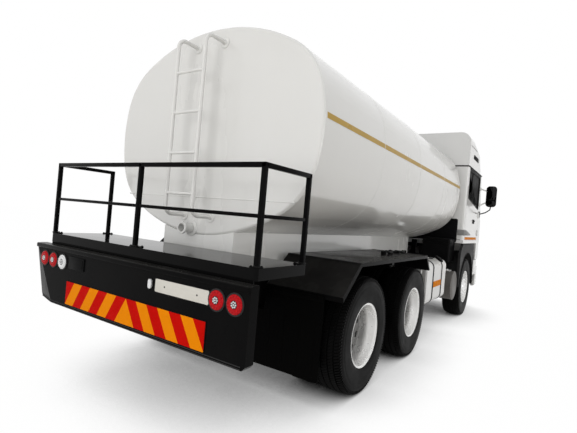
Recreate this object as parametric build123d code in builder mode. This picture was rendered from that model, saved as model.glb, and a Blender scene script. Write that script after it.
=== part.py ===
from build123d import *
import os

os.makedirs("parts", exist_ok=True)

# Short-wheelbase three-axle rigid tanker truck with a tilting forward cab, in millimetres.
# X runs forward, Y to the left, Z up from the road. The cab hangs on the front axle, the tail on the rear.

# Overall
REAR_OVERHANG = 1690
BOGIE = 1436
WHEELBASE = 3274
FRONT_OVERHANG = 1298
BODY_HALF = 1245
LAMP_PROUD = 22
LENGTH = LAMP_PROUD + REAR_OVERHANG + BOGIE + WHEELBASE + FRONT_OVERHANG
TAIL_X = LAMP_PROUD - LENGTH / 2
AXLE_3_X = TAIL_X + REAR_OVERHANG
AXLE_2_X = AXLE_3_X + BOGIE
AXLE_1_X = AXLE_2_X + WHEELBASE
BOGIE_X = (AXLE_3_X + AXLE_2_X) / 2

# Wheels and axles
TYRE_R = 525
TYRE_W = 300
RIM_R = 284
RIM_WALL = 14
RIM_HALF = 135
TYRE_FACE_Y = BODY_HALF - 5
DUAL_PITCH = 340
OUTER_Y = TYRE_FACE_Y - TYRE_W / 2
DUAL_Y = OUTER_Y - DUAL_PITCH / 2
SPINDLE_R = 48
SPINDLE_GAP = 1
AXLE_TUBE_R = 75
PINION_RISE = 95
PINION_LONG = 430
OUTPUT_LONG = 300
SHAFT_R = 45

# Steering
KINGPIN_Y = TYRE_FACE_Y - 340
KINGPIN_R = 25
KINGPIN_GAP = 0.4
EYE_R = 60
EYE_HALF = 70
EYE_GAP = 2
ARM_T = 43
ARM_LONG = 170
BALL_R = 20
BALL_GAP = 0.5

# Frame
RAIL_TOP = 1000
RAIL_H = 270
RAIL_HALF = 430
RAIL_FLANGE = 80
RAIL_WALL = 9
RAIL_BOTTOM = RAIL_TOP - RAIL_H
RAIL_INNER = RAIL_HALF - RAIL_FLANGE
CROSS_R = 50

# Tank: section of arcs, half width and half height about its centre
TANK_HALF_W = 1167
TANK_HALF_H = 894
TANK_Z = 2206
TANK_TOP_R = 1700
TANK_SIDE_R = 1250
TANK_CORNER_R = 600
TANK_X = TAIL_X + 720
TANK_GAP = 90
TANK_FRONT_R = 150
TANK_REAR_R = 22
SADDLE_HALF = RAIL_HALF - 10
SADDLE_SHORT = 350
MANWAY_R = 260
MANWAY_WALL = 14
MANWAY_RISE = 130
LID_R = 275
LID_T = 22
LID_GAP = 1
LID_PIN_R = 12
OUTLET_Y = 70
OUTLET_Z = 1362
OUTLET_R = 42
OUTLET_BORE_R = 36
OUTLET_LONG = 120

# Tail panel, deck and railing
PANEL_HALF = BODY_HALF - 35
PANEL_BOTTOM = 640
PANEL_TOP = 1120
PANEL_DEPTH = 75
PANEL_T = 6
PANEL_LIP = 18
PANEL_CORNER = 24
FOLD_IN = 300
FOLD_AHEAD = 72
LAMP_R = 68
LAMP_Z = 1000
DECK_X = TAIL_X + 89
DECK_LONG = 561
DECK_HALF = BODY_HALF - 75
DECK_TOP = 1209
DECK_T = 75
DECK_CORNER = 20
APRON_DROP = 110
APRON_T = 8
POST = 40
RAILING_TOP = 1837
MID_RAIL = 30
MID_RAIL_Z = 1516

# Rear ladder
LADDER_OFF = 220
LADDER_Y = 14
LADDER_HALF = 160
LADDER_R = 17
LADDER_FOOT = 1472
LADDER_HEAD = 2960
LADDER_BEND = 75
RUNG_R = 13

# Rear mudguards
GUARD_INNER = RAIL_HALF + 70
GUARD_OUTER = BODY_HALF + 5
GUARD_TOP = 1190
GUARD_T = 32
FLAP_T = 12
FLAP_BOTTOM = 215
FLAP_OUTER = BODY_HALF - 160
FLAP_INNER = RAIL_HALF - 90
FLAP_UNDER_RAIL = 30

# Chassis gear
DRUM_X = AXLE_1_X - 945
DRUM_Z = 630
DRUM_R = 235
DRUM_OUTER = BODY_HALF - 20
DRUM_INNER = RAIL_HALF + 70
FUEL_X = AXLE_2_X + TYRE_R + 129
FUEL_LONG = DRUM_X - DRUM_R - 370 - FUEL_X
FUEL_BOTTOM = 490
FUEL_TOP = 1085
FUEL_INNER = RAIL_HALF + 130
FUEL_OUTER = BODY_HALF - 45
ENGINE_X = AXLE_1_X - 750
ENGINE_LONG = 1500
ENGINE_HALF = 330
ENGINE_BOTTOM = 640
ENGINE_TOP = 1150
GEARBOX_LONG = 950
GEARBOX_HALF = 190
GEARBOX_BOTTOM = 540
GEARBOX_TOP = 880

# Cab
BUMPER_FRONT_X = AXLE_1_X + FRONT_OVERHANG
CAB_X = AXLE_1_X - 570
CAB_FRONT_X = BUMPER_FRONT_X - 98
CAB_FLOOR = 1335
FLOOR_T = 60
CAB_WALL = 60
ROOF_SEAM = 2700
ROOF_TOP = 3300
ROOF_RISE = ROOF_TOP - ROOF_SEAM
ROOF_T = ROOF_RISE / 12
SKIRT_Z = 1010
DOOR_REAR_X = CAB_X + 105
DOOR_FRONT_X = CAB_FRONT_X - 385
DOOR_GAP = 5
HINGE_GAP = 10
GLASS_T = 10
BUMPER_TOP = 850
BUMPER_BOTTOM = 450
BUMPER_WALL = 80
PIVOT_X = CAB_FRONT_X - 30
PIVOT_Z = 960
PIVOT_R = 25
PIVOT_GAP = 0.5
RAIL_FRONT_X = BUMPER_FRONT_X - 103
ARCH_R = 640
WING_TOP = 1322
STEP_TOP = 1000
STEP_BOTTOM = 500
STEP_WAIST = 700
STEP_SET_IN = 45
TANK_LONG = CAB_X - TANK_GAP - TANK_X
SADDLE_LONG = TANK_LONG - SADDLE_SHORT
MANWAY_X = TANK_X + 2300

SIDES = {"left": 1, "right": -1}


def tank_section():
    # quarter points of the section, where the crown, corner and side arcs meet
    crown = Vector(0, TANK_HALF_H - TANK_TOP_R)
    side = Vector(TANK_HALF_W - TANK_SIDE_R, 0)
    reach_crown = TANK_TOP_R - TANK_CORNER_R
    reach_side = TANK_SIDE_R - TANK_CORNER_R
    span = side - crown
    along = (reach_crown**2 - reach_side**2 + span.length**2) / (2 * span.length)
    across = (reach_crown**2 - along**2) ** 0.5
    unit = span.normalized()
    corner = crown + unit * along + Vector(unit.Y, -unit.X) * across
    crown_end = crown + (corner - crown).normalized() * TANK_TOP_R
    side_end = side + (corner - side).normalized() * TANK_SIDE_R
    middle = corner + ((crown_end + side_end) * 0.5 - corner).normalized() * TANK_CORNER_R
    return crown_end, middle, side_end


def across_plane(x, z=0):
    # faces forward: local x is Y, local y is Z
    return Plane(origin=(x, 0, z), x_dir=(0, 1, 0), z_dir=(1, 0, 0))


def side_plane(y):
    # side view: local x is X, local y is Z
    return Plane(origin=(0, y, 0), x_dir=(1, 0, 0), z_dir=(0, -1, 0))


def tank_face(x):
    crown_end, middle, side_end = tank_section()
    with BuildSketch(across_plane(x, TANK_Z)) as section:
        with BuildLine():
            ThreePointArc((-crown_end.X, crown_end.Y), (0, TANK_HALF_H), (crown_end.X, crown_end.Y))
            ThreePointArc((crown_end.X, crown_end.Y), (middle.X, middle.Y), (side_end.X, side_end.Y))
            ThreePointArc((side_end.X, side_end.Y), (TANK_HALF_W, 0), (side_end.X, -side_end.Y))
            ThreePointArc((side_end.X, -side_end.Y), (middle.X, -middle.Y), (crown_end.X, -crown_end.Y))
            ThreePointArc((crown_end.X, -crown_end.Y), (0, -TANK_HALF_H), (-crown_end.X, -crown_end.Y))
            ThreePointArc((-crown_end.X, -crown_end.Y), (-middle.X, -middle.Y), (-side_end.X, -side_end.Y))
            ThreePointArc((-side_end.X, -side_end.Y), (-TANK_HALF_W, 0), (-side_end.X, side_end.Y))
            ThreePointArc((-side_end.X, side_end.Y), (-middle.X, middle.Y), (-crown_end.X, crown_end.Y))
        make_face()
    return section.sketch


def block(x0, x1, y0, y1, z0, z1, mode=Mode.ADD):
    with Locations(((x0 + x1) / 2, (y0 + y1) / 2, (z0 + z1) / 2)):
        Box(abs(x1 - x0), abs(y1 - y0), abs(z1 - z0), mode=mode)


def bar_y(x, z, r, y0, y1, mode=Mode.ADD):
    with Locations(Location((x, (y0 + y1) / 2, z), (90, 0, 0))):
        Cylinder(r, abs(y1 - y0), mode=mode)


def bar_x(y, z, r, x0, x1, mode=Mode.ADD):
    with Locations(Location(((x0 + x1) / 2, y, z), (0, 90, 0))):
        Cylinder(r, abs(x1 - x0), mode=mode)


def bar_z(x, y, r, z0, z1, mode=Mode.ADD):
    with Locations((x, y, (z0 + z1) / 2)):
        Cylinder(r, abs(z1 - z0), mode=mode)


def slab(points, y0, y1, mode=Mode.ADD):
    # side-view outline of (x, z) points, drawn across from y0 to y1
    with BuildSketch(side_plane(min(y0, y1))) as outline:
        with BuildLine():
            Polyline(*points, close=True)
        make_face()
    extrude(outline.sketch, amount=-abs(y1 - y0), mode=mode)


def save(builder, name):
    builder.part.label = name
    export_step(builder.part, f"parts/{name}.step")


# Frame: two channel rails, web outward
with BuildPart() as frame_rails:
    for side in SIDES.values():
        with BuildSketch(across_plane(TAIL_X + PANEL_T)):
            with Locations((side * (RAIL_HALF - RAIL_FLANGE / 2), RAIL_TOP - RAIL_H / 2)):
                Rectangle(RAIL_FLANGE, RAIL_H)
            with Locations((side * (RAIL_HALF - RAIL_FLANGE / 2 - RAIL_WALL), RAIL_TOP - RAIL_H / 2)):
                Rectangle(RAIL_FLANGE, RAIL_H - 2 * RAIL_WALL, mode=Mode.SUBTRACT)
        extrude(amount=RAIL_FRONT_X - TAIL_X - PANEL_T)
save(frame_rails, "frame_rails")

# Cross tubes between the webs, the cab pivot tube and the cab's rear rests
SHAFT_MID_X = (AXLE_2_X + PINION_LONG + ENGINE_X - GEARBOX_LONG) / 2
CROSS_X = (TAIL_X + 300, AXLE_3_X - 640, BOGIE_X, SHAFT_MID_X)
CROSS_HALF = RAIL_HALF - RAIL_WALL
with BuildPart() as frame_crossmembers:
    for x in CROSS_X:
        bar_y(x, RAIL_TOP - RAIL_H / 2, CROSS_R, -CROSS_HALF, CROSS_HALF)
    bar_y(PIVOT_X, PIVOT_Z, PIVOT_R, -CROSS_HALF, CROSS_HALF)
    for side in SIDES.values():
        block(CAB_X + 10, CAB_X + 90, side * RAIL_INNER, side * RAIL_HALF, RAIL_TOP, CAB_FLOOR - DOOR_GAP)
save(frame_crossmembers, "frame_crossmembers")

# Tank on its saddle
with BuildPart() as tank_shell:
    extrude(tank_face(TANK_X), amount=TANK_LONG)
    fillet(tank_shell.faces().sort_by(Axis.X)[-1].edges(), TANK_FRONT_R)
    fillet(tank_shell.faces().sort_by(Axis.X)[0].edges(), TANK_REAR_R)
save(tank_shell, "tank_shell")

with BuildPart() as tank_saddle:
    block(TANK_X, TANK_X + SADDLE_LONG, -SADDLE_HALF, SADDLE_HALF, RAIL_TOP, TANK_Z - TANK_HALF_H + 120)
    extrude(tank_face(TANK_X - 10), amount=SADDLE_LONG + 20, mode=Mode.SUBTRACT)
save(tank_saddle, "tank_saddle")

# Manway: collar with hinge ears and pin, and its lid
TANK_TOP = TANK_Z + TANK_HALF_H
COLLAR_TOP = TANK_TOP + MANWAY_RISE
LID_PIN_X = MANWAY_X + LID_R + 40
LID_PIN_Z = COLLAR_TOP + LID_GAP + LID_T / 2
EAR_Y = 50
EAR_T = 18
with BuildPart() as manway_collar:
    bar_z(MANWAY_X, 0, MANWAY_R, TANK_TOP - 60, COLLAR_TOP)
    for side in SIDES.values():
        slab(
            [
                (MANWAY_X + MANWAY_R - MANWAY_WALL, COLLAR_TOP - 70),
                (LID_PIN_X, COLLAR_TOP - 50),
                (LID_PIN_X + 28, LID_PIN_Z),
                (LID_PIN_X, LID_PIN_Z + 26),
                (LID_PIN_X - 26, LID_PIN_Z),
                (LID_PIN_X - 30, COLLAR_TOP - 20),
                (MANWAY_X + MANWAY_R - MANWAY_WALL, COLLAR_TOP - 30),
            ],
            side * EAR_Y,
            side * (EAR_Y + EAR_T),
        )
    bar_y(LID_PIN_X, LID_PIN_Z, LID_PIN_R, -EAR_Y - EAR_T, EAR_Y + EAR_T)
    bar_z(MANWAY_X, 0, MANWAY_R - MANWAY_WALL, TANK_TOP - 60, COLLAR_TOP + 10, mode=Mode.SUBTRACT)
    extrude(tank_face(MANWAY_X - 2 * MANWAY_R), amount=4 * MANWAY_R, mode=Mode.SUBTRACT)
save(manway_collar, "manway_collar")

with BuildPart() as manway_lid:
    bar_z(MANWAY_X, 0, LID_R, COLLAR_TOP + LID_GAP, COLLAR_TOP + LID_GAP + LID_T)
    block(
        MANWAY_X + LID_R - 60,
        LID_PIN_X,
        -EAR_Y + DOOR_GAP,
        EAR_Y - DOOR_GAP,
        COLLAR_TOP + LID_GAP,
        COLLAR_TOP + LID_GAP + LID_T,
    )
    bar_y(LID_PIN_X, LID_PIN_Z, LID_PIN_R + 10, -EAR_Y + DOOR_GAP, EAR_Y - DOOR_GAP)
    bar_y(LID_PIN_X, LID_PIN_Z, LID_PIN_R + KINGPIN_GAP, -EAR_Y, EAR_Y, mode=Mode.SUBTRACT)
save(manway_lid, "manway_lid")

# Outlet pipe at the foot of the rear face
with BuildPart() as tank_outlet:
    bar_x(OUTLET_Y, OUTLET_Z, OUTLET_R, TANK_X - OUTLET_LONG, TANK_X)
    bar_x(OUTLET_Y, OUTLET_Z, OUTLET_BORE_R, TANK_X - OUTLET_LONG, TANK_X, mode=Mode.SUBTRACT)
save(tank_outlet, "tank_outlet")

# Ladder standing off the rear face, both ends bent to it
RUNG_Z = (1647, 1985, 2323, 2661)
with BuildPart() as rear_ladder:
    for side in SIDES.values():
        rail_y = LADDER_Y + side * LADDER_HALF
        with BuildLine() as ladder_line:
            FilletPolyline(
                (TANK_X, rail_y, LADDER_FOOT),
                (TANK_X - LADDER_OFF, rail_y, LADDER_FOOT),
                (TANK_X - LADDER_OFF, rail_y, LADDER_HEAD),
                (TANK_X, rail_y, LADDER_HEAD),
                radius=LADDER_BEND,
            )
        with BuildSketch(Plane(origin=(TANK_X, rail_y, LADDER_FOOT), z_dir=(-1, 0, 0))):
            Circle(LADDER_R)
        sweep(path=ladder_line.wires()[0])
    for z in RUNG_Z:
        bar_y(TANK_X - LADDER_OFF, z, RUNG_R, LADDER_Y - LADDER_HALF, LADDER_Y + LADDER_HALF)
save(rear_ladder, "rear_ladder")

# Deck on two bearers over the frame, with an apron down behind the tail panel
DECK_FRONT_X = DECK_X + DECK_LONG
with BuildPart() as rear_deck:
    block(DECK_X, DECK_FRONT_X, -DECK_HALF, DECK_HALF, DECK_TOP - DECK_T, DECK_TOP)
    fillet(rear_deck.edges().filter_by(Axis.Z), DECK_CORNER)
    apron_half = DECK_HALF - DECK_CORNER
    apron_top = DECK_TOP - DECK_T
    block(DECK_X, DECK_X + APRON_T, -apron_half, apron_half, apron_top - APRON_DROP, apron_top)
    for side in SIDES.values():
        block(
            DECK_X + 40, DECK_FRONT_X - 40, side * RAIL_INNER, side * RAIL_HALF, RAIL_TOP, DECK_TOP - DECK_T
        )
save(rear_deck, "rear_deck")

# Railing: five square posts, and bars that butt between them
POST_Y = DECK_HALF - POST / 2
POST_REAR_X = DECK_X + POST / 2
POST_FRONT_X = DECK_FRONT_X - POST / 2 - 10
POST_PLACES = ((POST_REAR_X, POST_Y), (POST_REAR_X, 0), (POST_REAR_X, -POST_Y), (POST_FRONT_X, POST_Y),
               (POST_FRONT_X, -POST_Y))
with BuildPart() as railing_posts:
    for x, y in POST_PLACES:
        block(x - POST / 2, x + POST / 2, y - POST / 2, y + POST / 2, DECK_TOP, RAILING_TOP)
save(railing_posts, "railing_posts")

BAR_ROWS = ((RAILING_TOP - POST / 2, POST), (MID_RAIL_Z, MID_RAIL))
with BuildPart() as railing_bars:
    for z, size in BAR_ROWS:
        for side in SIDES.values():
            block(
                POST_REAR_X - size / 2,
                POST_REAR_X + size / 2,
                side * POST / 2,
                side * (POST_Y - POST / 2),
                z - size / 2,
                z + size / 2,
            )
            block(
                POST_REAR_X + POST / 2,
                POST_FRONT_X - POST / 2,
                side * POST_Y - size / 2,
                side * POST_Y + size / 2,
                z - size / 2,
                z + size / 2,
            )
save(railing_bars, "railing_bars")

# Tail panel: tray open forward, its lower left corner folded forward along a slanting line


def fold_plane(ahead):
    top = Vector(TAIL_X + ahead, PANEL_HALF, PANEL_TOP - PANEL_LIP)
    inner = Vector(TAIL_X + ahead, PANEL_HALF - FOLD_IN, PANEL_BOTTOM)
    outer = Vector(TAIL_X + ahead + FOLD_AHEAD, PANEL_HALF, PANEL_BOTTOM)
    return Plane(origin=top, z_dir=(inner - top).cross(outer - top))


with BuildPart() as panel_hollow:
    block(
        TAIL_X + PANEL_T,
        TAIL_X + PANEL_DEPTH,
        -PANEL_HALF + PANEL_T,
        PANEL_HALF - PANEL_T,
        PANEL_BOTTOM + PANEL_LIP,
        PANEL_TOP - PANEL_T - PANEL_LIP,
    )
    split(bisect_by=fold_plane(PANEL_T), keep=Keep.TOP)

with BuildPart() as tail_panel:
    block(TAIL_X, TAIL_X + PANEL_DEPTH, -PANEL_HALF, PANEL_HALF, PANEL_BOTTOM, PANEL_TOP)
    chamfer(tail_panel.edges().filter_by(Axis.X).group_by(Axis.Z)[0], PANEL_CORNER)
    fillet(tail_panel.faces().sort_by(Axis.X)[0].edges().sort_by(Axis.Z)[-1], PANEL_CORNER)
    split(bisect_by=fold_plane(0), keep=Keep.TOP)
    add(panel_hollow.part, mode=Mode.SUBTRACT)
save(tail_panel, "tail_panel")

# Round lamps on the tail panel, left to right
LAMP_Y = (PANEL_HALF - 150, PANEL_HALF - 290, PANEL_HALF - 433, 250 - PANEL_HALF, 107 - PANEL_HALF)
with BuildPart() as tail_lamps:
    for y in LAMP_Y:
        bar_x(y, LAMP_Z, LAMP_R, TAIL_X - LAMP_PROUD, TAIL_X)
    fillet(tail_lamps.faces().sort_by(Axis.X)[0:5].edges(), 8)
save(tail_lamps, "tail_lamps")

# Rear mudguards: bent plates on arms from the frame, with hanging flaps
GUARD_REAR_X = AXLE_3_X - TYRE_R - 38
GUARD_REAR_Z = 930
GUARD_BEND_REAR = AXLE_3_X - 255
GUARD_BEND_FRONT = AXLE_2_X + 404
GUARD_FRONT_X = AXLE_2_X + TYRE_R + 49
GUARD_FRONT_Z = 1000
GUARD_ARM_X = (BOGIE_X, GUARD_BEND_FRONT - 60)
with BuildPart() as rear_mudguards:
    for side in SIDES.values():
        slab(
            [
                (GUARD_REAR_X, GUARD_REAR_Z),
                (GUARD_BEND_REAR, GUARD_TOP),
                (GUARD_BEND_FRONT, GUARD_TOP),
                (GUARD_FRONT_X, GUARD_FRONT_Z),
                (GUARD_FRONT_X - GUARD_T, GUARD_FRONT_Z - 8),
                (GUARD_BEND_FRONT - GUARD_T / 2, GUARD_TOP - GUARD_T),
                (GUARD_BEND_REAR + GUARD_T / 2, GUARD_TOP - GUARD_T),
                (GUARD_REAR_X, GUARD_REAR_Z - GUARD_T - 8),
            ],
            side * GUARD_INNER,
            side * GUARD_OUTER,
        )
        for x in GUARD_ARM_X:
            block(
                x - 30,
                x + 30,
                side * RAIL_HALF,
                side * (RAIL_HALF + 14),
                RAIL_BOTTOM + 150,
                GUARD_TOP - GUARD_T,
            )
            block(
                x - 30,
                x + 30,
                side * RAIL_HALF,
                side * (GUARD_OUTER - 60),
                GUARD_TOP - GUARD_T - 36,
                GUARD_TOP - GUARD_T,
            )
save(rear_mudguards, "rear_mudguards")

with BuildPart() as mudflaps:
    for side in SIDES.values():
        block(
            GUARD_REAR_X - FLAP_T,
            GUARD_REAR_X,
            side * GUARD_INNER,
            side * FLAP_OUTER,
            FLAP_BOTTOM,
            GUARD_REAR_Z - 6,
        )
        block(
            GUARD_REAR_X - FLAP_T,
            GUARD_REAR_X,
            side * FLAP_INNER,
            side * GUARD_INNER,
            FLAP_BOTTOM,
            RAIL_BOTTOM - FLAP_UNDER_RAIL,
        )
save(mudflaps, "mudflaps")

# Fuel tank, right side, on bracket arms
FUEL_ARM_X = (FUEL_X + 0.316 * FUEL_LONG, FUEL_X + 0.755 * FUEL_LONG)
with BuildPart() as fuel_tank:
    block(FUEL_X, FUEL_X + FUEL_LONG, -FUEL_INNER, -FUEL_OUTER, FUEL_BOTTOM, FUEL_TOP)
    fillet(fuel_tank.edges().filter_by(Axis.X), 95)
    fillet(fuel_tank.faces().sort_by(Axis.X)[0].edges(), 22)
    fillet(fuel_tank.faces().sort_by(Axis.X)[-1].edges(), 22)
    for x in FUEL_ARM_X:
        block(x - 35, x + 35, -RAIL_HALF, -FUEL_INNER - 20, RAIL_BOTTOM + 20, RAIL_TOP - 60)
save(fuel_tank, "fuel_tank")

# Exhaust drum lying across, right side
with BuildPart() as exhaust_drum:
    bar_y(DRUM_X, DRUM_Z, DRUM_R, -DRUM_INNER, -DRUM_OUTER)
    fillet(exhaust_drum.edges().filter_by(GeomType.CIRCLE), 20)
    block(DRUM_X - 60, DRUM_X + 60, -RAIL_HALF, -DRUM_INNER - 150, DRUM_Z + DRUM_R - 60, RAIL_TOP - 80)
save(exhaust_drum, "exhaust_drum")

# Air cleaner behind the cab, right side, standing on the rail
CLEANER_X = CAB_X - 430
CLEANER_FRONT_X = CAB_X - 40
CLEANER_OUTER = BODY_HALF - 125
CLEANER_INNER = RAIL_HALF + 230
CLEANER_TOP = RAIL_TOP + 400
with BuildPart() as air_cleaner:
    block(CLEANER_X, CLEANER_FRONT_X, -CLEANER_OUTER, -CLEANER_INNER, RAIL_TOP, CLEANER_TOP)
    fillet(air_cleaner.edges(), 30)
    block(CLEANER_X + 60, CLEANER_FRONT_X - 60, -CLEANER_INNER - 40, -RAIL_INNER, RAIL_TOP, RAIL_TOP + 80)
save(air_cleaner, "air_cleaner")

# Battery box and air tanks, left side
BATTERY_LONG = 0.614 * FUEL_LONG
with BuildPart() as battery_box:
    block(FUEL_X, FUEL_X + BATTERY_LONG, FUEL_INNER, FUEL_OUTER, FUEL_BOTTOM + 40, FUEL_TOP - 40)
    fillet(battery_box.edges(), 18)
    block(
        FUEL_X + 0.36 * BATTERY_LONG,
        FUEL_X + 0.64 * BATTERY_LONG,
        RAIL_HALF,
        FUEL_INNER + 20,
        RAIL_BOTTOM + 20,
        RAIL_TOP - 60,
    )
save(battery_box, "battery_box")

AIR_TANK_X = FUEL_X + BATTERY_LONG + 140
AIR_TANK_END = DRUM_X + 115
AIR_TANK_LONG = AIR_TANK_END - AIR_TANK_X
AIR_TANK_R = 130
AIR_TANK_Y = FUEL_INNER + 90
AIR_TANK_Z = (900, 610)
with BuildPart() as air_tanks:
    for z in AIR_TANK_Z:
        bar_x(AIR_TANK_Y, z, AIR_TANK_R, AIR_TANK_X, AIR_TANK_END)
    fillet(air_tanks.edges().filter_by(GeomType.CIRCLE), 55)
    for x in (AIR_TANK_X + 0.22 * AIR_TANK_LONG, AIR_TANK_X + 0.78 * AIR_TANK_LONG):
        block(x - 25, x + 25, RAIL_HALF, AIR_TANK_Y, AIR_TANK_Z[1] + 40, AIR_TANK_Z[0] + 40)
save(air_tanks, "air_tanks")

# Engine and gearbox as plain masses, with feet on the rail webs
with BuildPart() as engine:
    block(ENGINE_X, ENGINE_X + ENGINE_LONG, -ENGINE_HALF, ENGINE_HALF, ENGINE_BOTTOM, ENGINE_TOP)
    block(ENGINE_X - GEARBOX_LONG, ENGINE_X, -GEARBOX_HALF, GEARBOX_HALF, GEARBOX_BOTTOM, GEARBOX_TOP)
    for x in (ENGINE_X + 150, ENGINE_X + ENGINE_LONG - 150):
        block(x - 40, x + 40, -CROSS_HALF, CROSS_HALF, RAIL_BOTTOM + 90, RAIL_BOTTOM + 170)
save(engine, "engine")

# Propeller shafts
PINION_Z = TYRE_R + PINION_RISE
with BuildPart() as driveline:
    bar_x(0, PINION_Z, SHAFT_R, AXLE_2_X + PINION_LONG, ENGINE_X - GEARBOX_LONG)
    bar_x(0, PINION_Z, SHAFT_R, AXLE_3_X + PINION_LONG, AXLE_2_X - OUTPUT_LONG)
save(driveline, "driveline")

# Rear axles: housings with final drives and spindles
SPINDLE_END = DUAL_Y + 60
TUBE_END = DUAL_Y - 126
SPRING_IN = RAIL_HALF + 50
SPRING_OUT = SPRING_IN + 80
PAD_TOP = TYRE_R + AXLE_TUBE_R + 6
with BuildPart() as rear_axles:
    for x in (AXLE_3_X, AXLE_2_X):
        with BuildSketch(across_plane(x, TYRE_R)):
            with BuildLine():
                Polyline(
                    (-SPINDLE_END, 0),
                    (-SPINDLE_END, SPINDLE_R),
                    (-TUBE_END, SPINDLE_R),
                    (-TUBE_END, AXLE_TUBE_R),
                    (-330, AXLE_TUBE_R),
                    (-150, 195),
                    (150, 195),
                    (330, AXLE_TUBE_R),
                    (TUBE_END, AXLE_TUBE_R),
                    (TUBE_END, SPINDLE_R),
                    (SPINDLE_END, SPINDLE_R),
                    (SPINDLE_END, 0),
                    close=True,
                )
            make_face()
        revolve(axis=Axis((x, 0, TYRE_R), (0, 1, 0)))
        bar_x(0, PINION_Z, 115, x, x + PINION_LONG - 110)
        bar_x(0, PINION_Z, 70, x, x + PINION_LONG)
        if x == AXLE_2_X:
            bar_x(0, PINION_Z, 65, x - OUTPUT_LONG, x)
        for side in SIDES.values():
            block(x - 60, x + 60, side * SPRING_IN, side * SPRING_OUT, TYRE_R, PAD_TOP)
save(rear_axles, "rear_axles")

# Rear leaf springs with their trunnion brackets
with BuildPart() as rear_springs:
    for side in SIDES.values():
        slab(
            [
                (AXLE_3_X - 60, PAD_TOP),
                (AXLE_3_X + 60, PAD_TOP),
                (BOGIE_X - 120, PAD_TOP + 70),
                (BOGIE_X + 120, PAD_TOP + 70),
                (AXLE_2_X - 60, PAD_TOP),
                (AXLE_2_X + 60, PAD_TOP),
                (AXLE_2_X + 60, PAD_TOP + 40),
                (BOGIE_X + 130, PAD_TOP + 190),
                (BOGIE_X - 130, PAD_TOP + 190),
                (AXLE_3_X - 60, PAD_TOP + 40),
            ],
            side * SPRING_IN,
            side * SPRING_OUT,
        )
        block(
            BOGIE_X - 110,
            BOGIE_X + 110,
            side * RAIL_HALF,
            side * SPRING_OUT,
            PAD_TOP - 60,
            RAIL_BOTTOM + 140,
        )
save(rear_springs, "rear_springs")

# Front axle beam with kingpin eyes and spring pads
FRONT_PAD = TYRE_R + 35
with BuildPart() as front_axle:
    with BuildSketch(across_plane(AXLE_1_X - 48, TYRE_R)):
        with BuildLine():
            Polyline(
                (-KINGPIN_Y, -55),
                (-KINGPIN_Y, 55),
                (-KINGPIN_Y + 90, 55),
                (-560, -50),
                (560, -50),
                (KINGPIN_Y - 90, 55),
                (KINGPIN_Y, 55),
                (KINGPIN_Y, -55),
                (KINGPIN_Y - 110, -55),
                (580, -140),
                (-580, -140),
                (-KINGPIN_Y + 110, -55),
                close=True,
            )
        make_face()
    extrude(amount=96)
    for side in SIDES.values():
        bar_z(AXLE_1_X, side * KINGPIN_Y, EYE_R, TYRE_R - EYE_HALF, TYRE_R + EYE_HALF)
        block(
            AXLE_1_X - 60, AXLE_1_X + 60, side * RAIL_INNER, side * RAIL_HALF, TYRE_R - 60, FRONT_PAD
        )
    for side in SIDES.values():
        bar_z(
            AXLE_1_X,
            side * KINGPIN_Y,
            KINGPIN_R + KINGPIN_GAP,
            TYRE_R - EYE_HALF,
            TYRE_R + EYE_HALF,
            mode=Mode.SUBTRACT,
        )
save(front_axle, "front_axle")

# Front leaf springs with hangers under the rails
LEAF_HALF = 680
LEAF_T = 60
LEAF_END = RAIL_BOTTOM - 100
with BuildPart() as front_springs:
    for side in SIDES.values():
        with BuildSketch(side_plane(min(side * RAIL_INNER, side * RAIL_HALF))):
            with BuildLine():
                ThreePointArc(
                    (AXLE_1_X - LEAF_HALF, LEAF_END), (AXLE_1_X, FRONT_PAD), (AXLE_1_X + LEAF_HALF, LEAF_END)
                )
                Line((AXLE_1_X + LEAF_HALF, LEAF_END), (AXLE_1_X + LEAF_HALF, LEAF_END + LEAF_T))
                ThreePointArc(
                    (AXLE_1_X + LEAF_HALF, LEAF_END + LEAF_T),
                    (AXLE_1_X, FRONT_PAD + LEAF_T),
                    (AXLE_1_X - LEAF_HALF, LEAF_END + LEAF_T),
                )
                Line((AXLE_1_X - LEAF_HALF, LEAF_END + LEAF_T), (AXLE_1_X - LEAF_HALF, LEAF_END))
            make_face()
        extrude(amount=-RAIL_FLANGE)
        for end in (-1, 1):
            x = AXLE_1_X + end * (LEAF_HALF - 40)
            block(x - 40, x + 40, side * RAIL_INNER, side * RAIL_HALF, LEAF_END + 20, RAIL_BOTTOM)
save(front_springs, "front_springs")

# Steering knuckles: fork and kingpin round the axle eye, spindle outward, arm rearward
KNUCKLE_LOW = TYRE_R - EYE_HALF - EYE_GAP
KNUCKLE_HIGH = TYRE_R + EYE_HALF + EYE_GAP
KNUCKLE_Y = KINGPIN_Y + EYE_R + 8
FRONT_Y = TYRE_FACE_Y - TYRE_W / 2
FRONT_SPINDLE_END = FRONT_Y + 80


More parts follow.
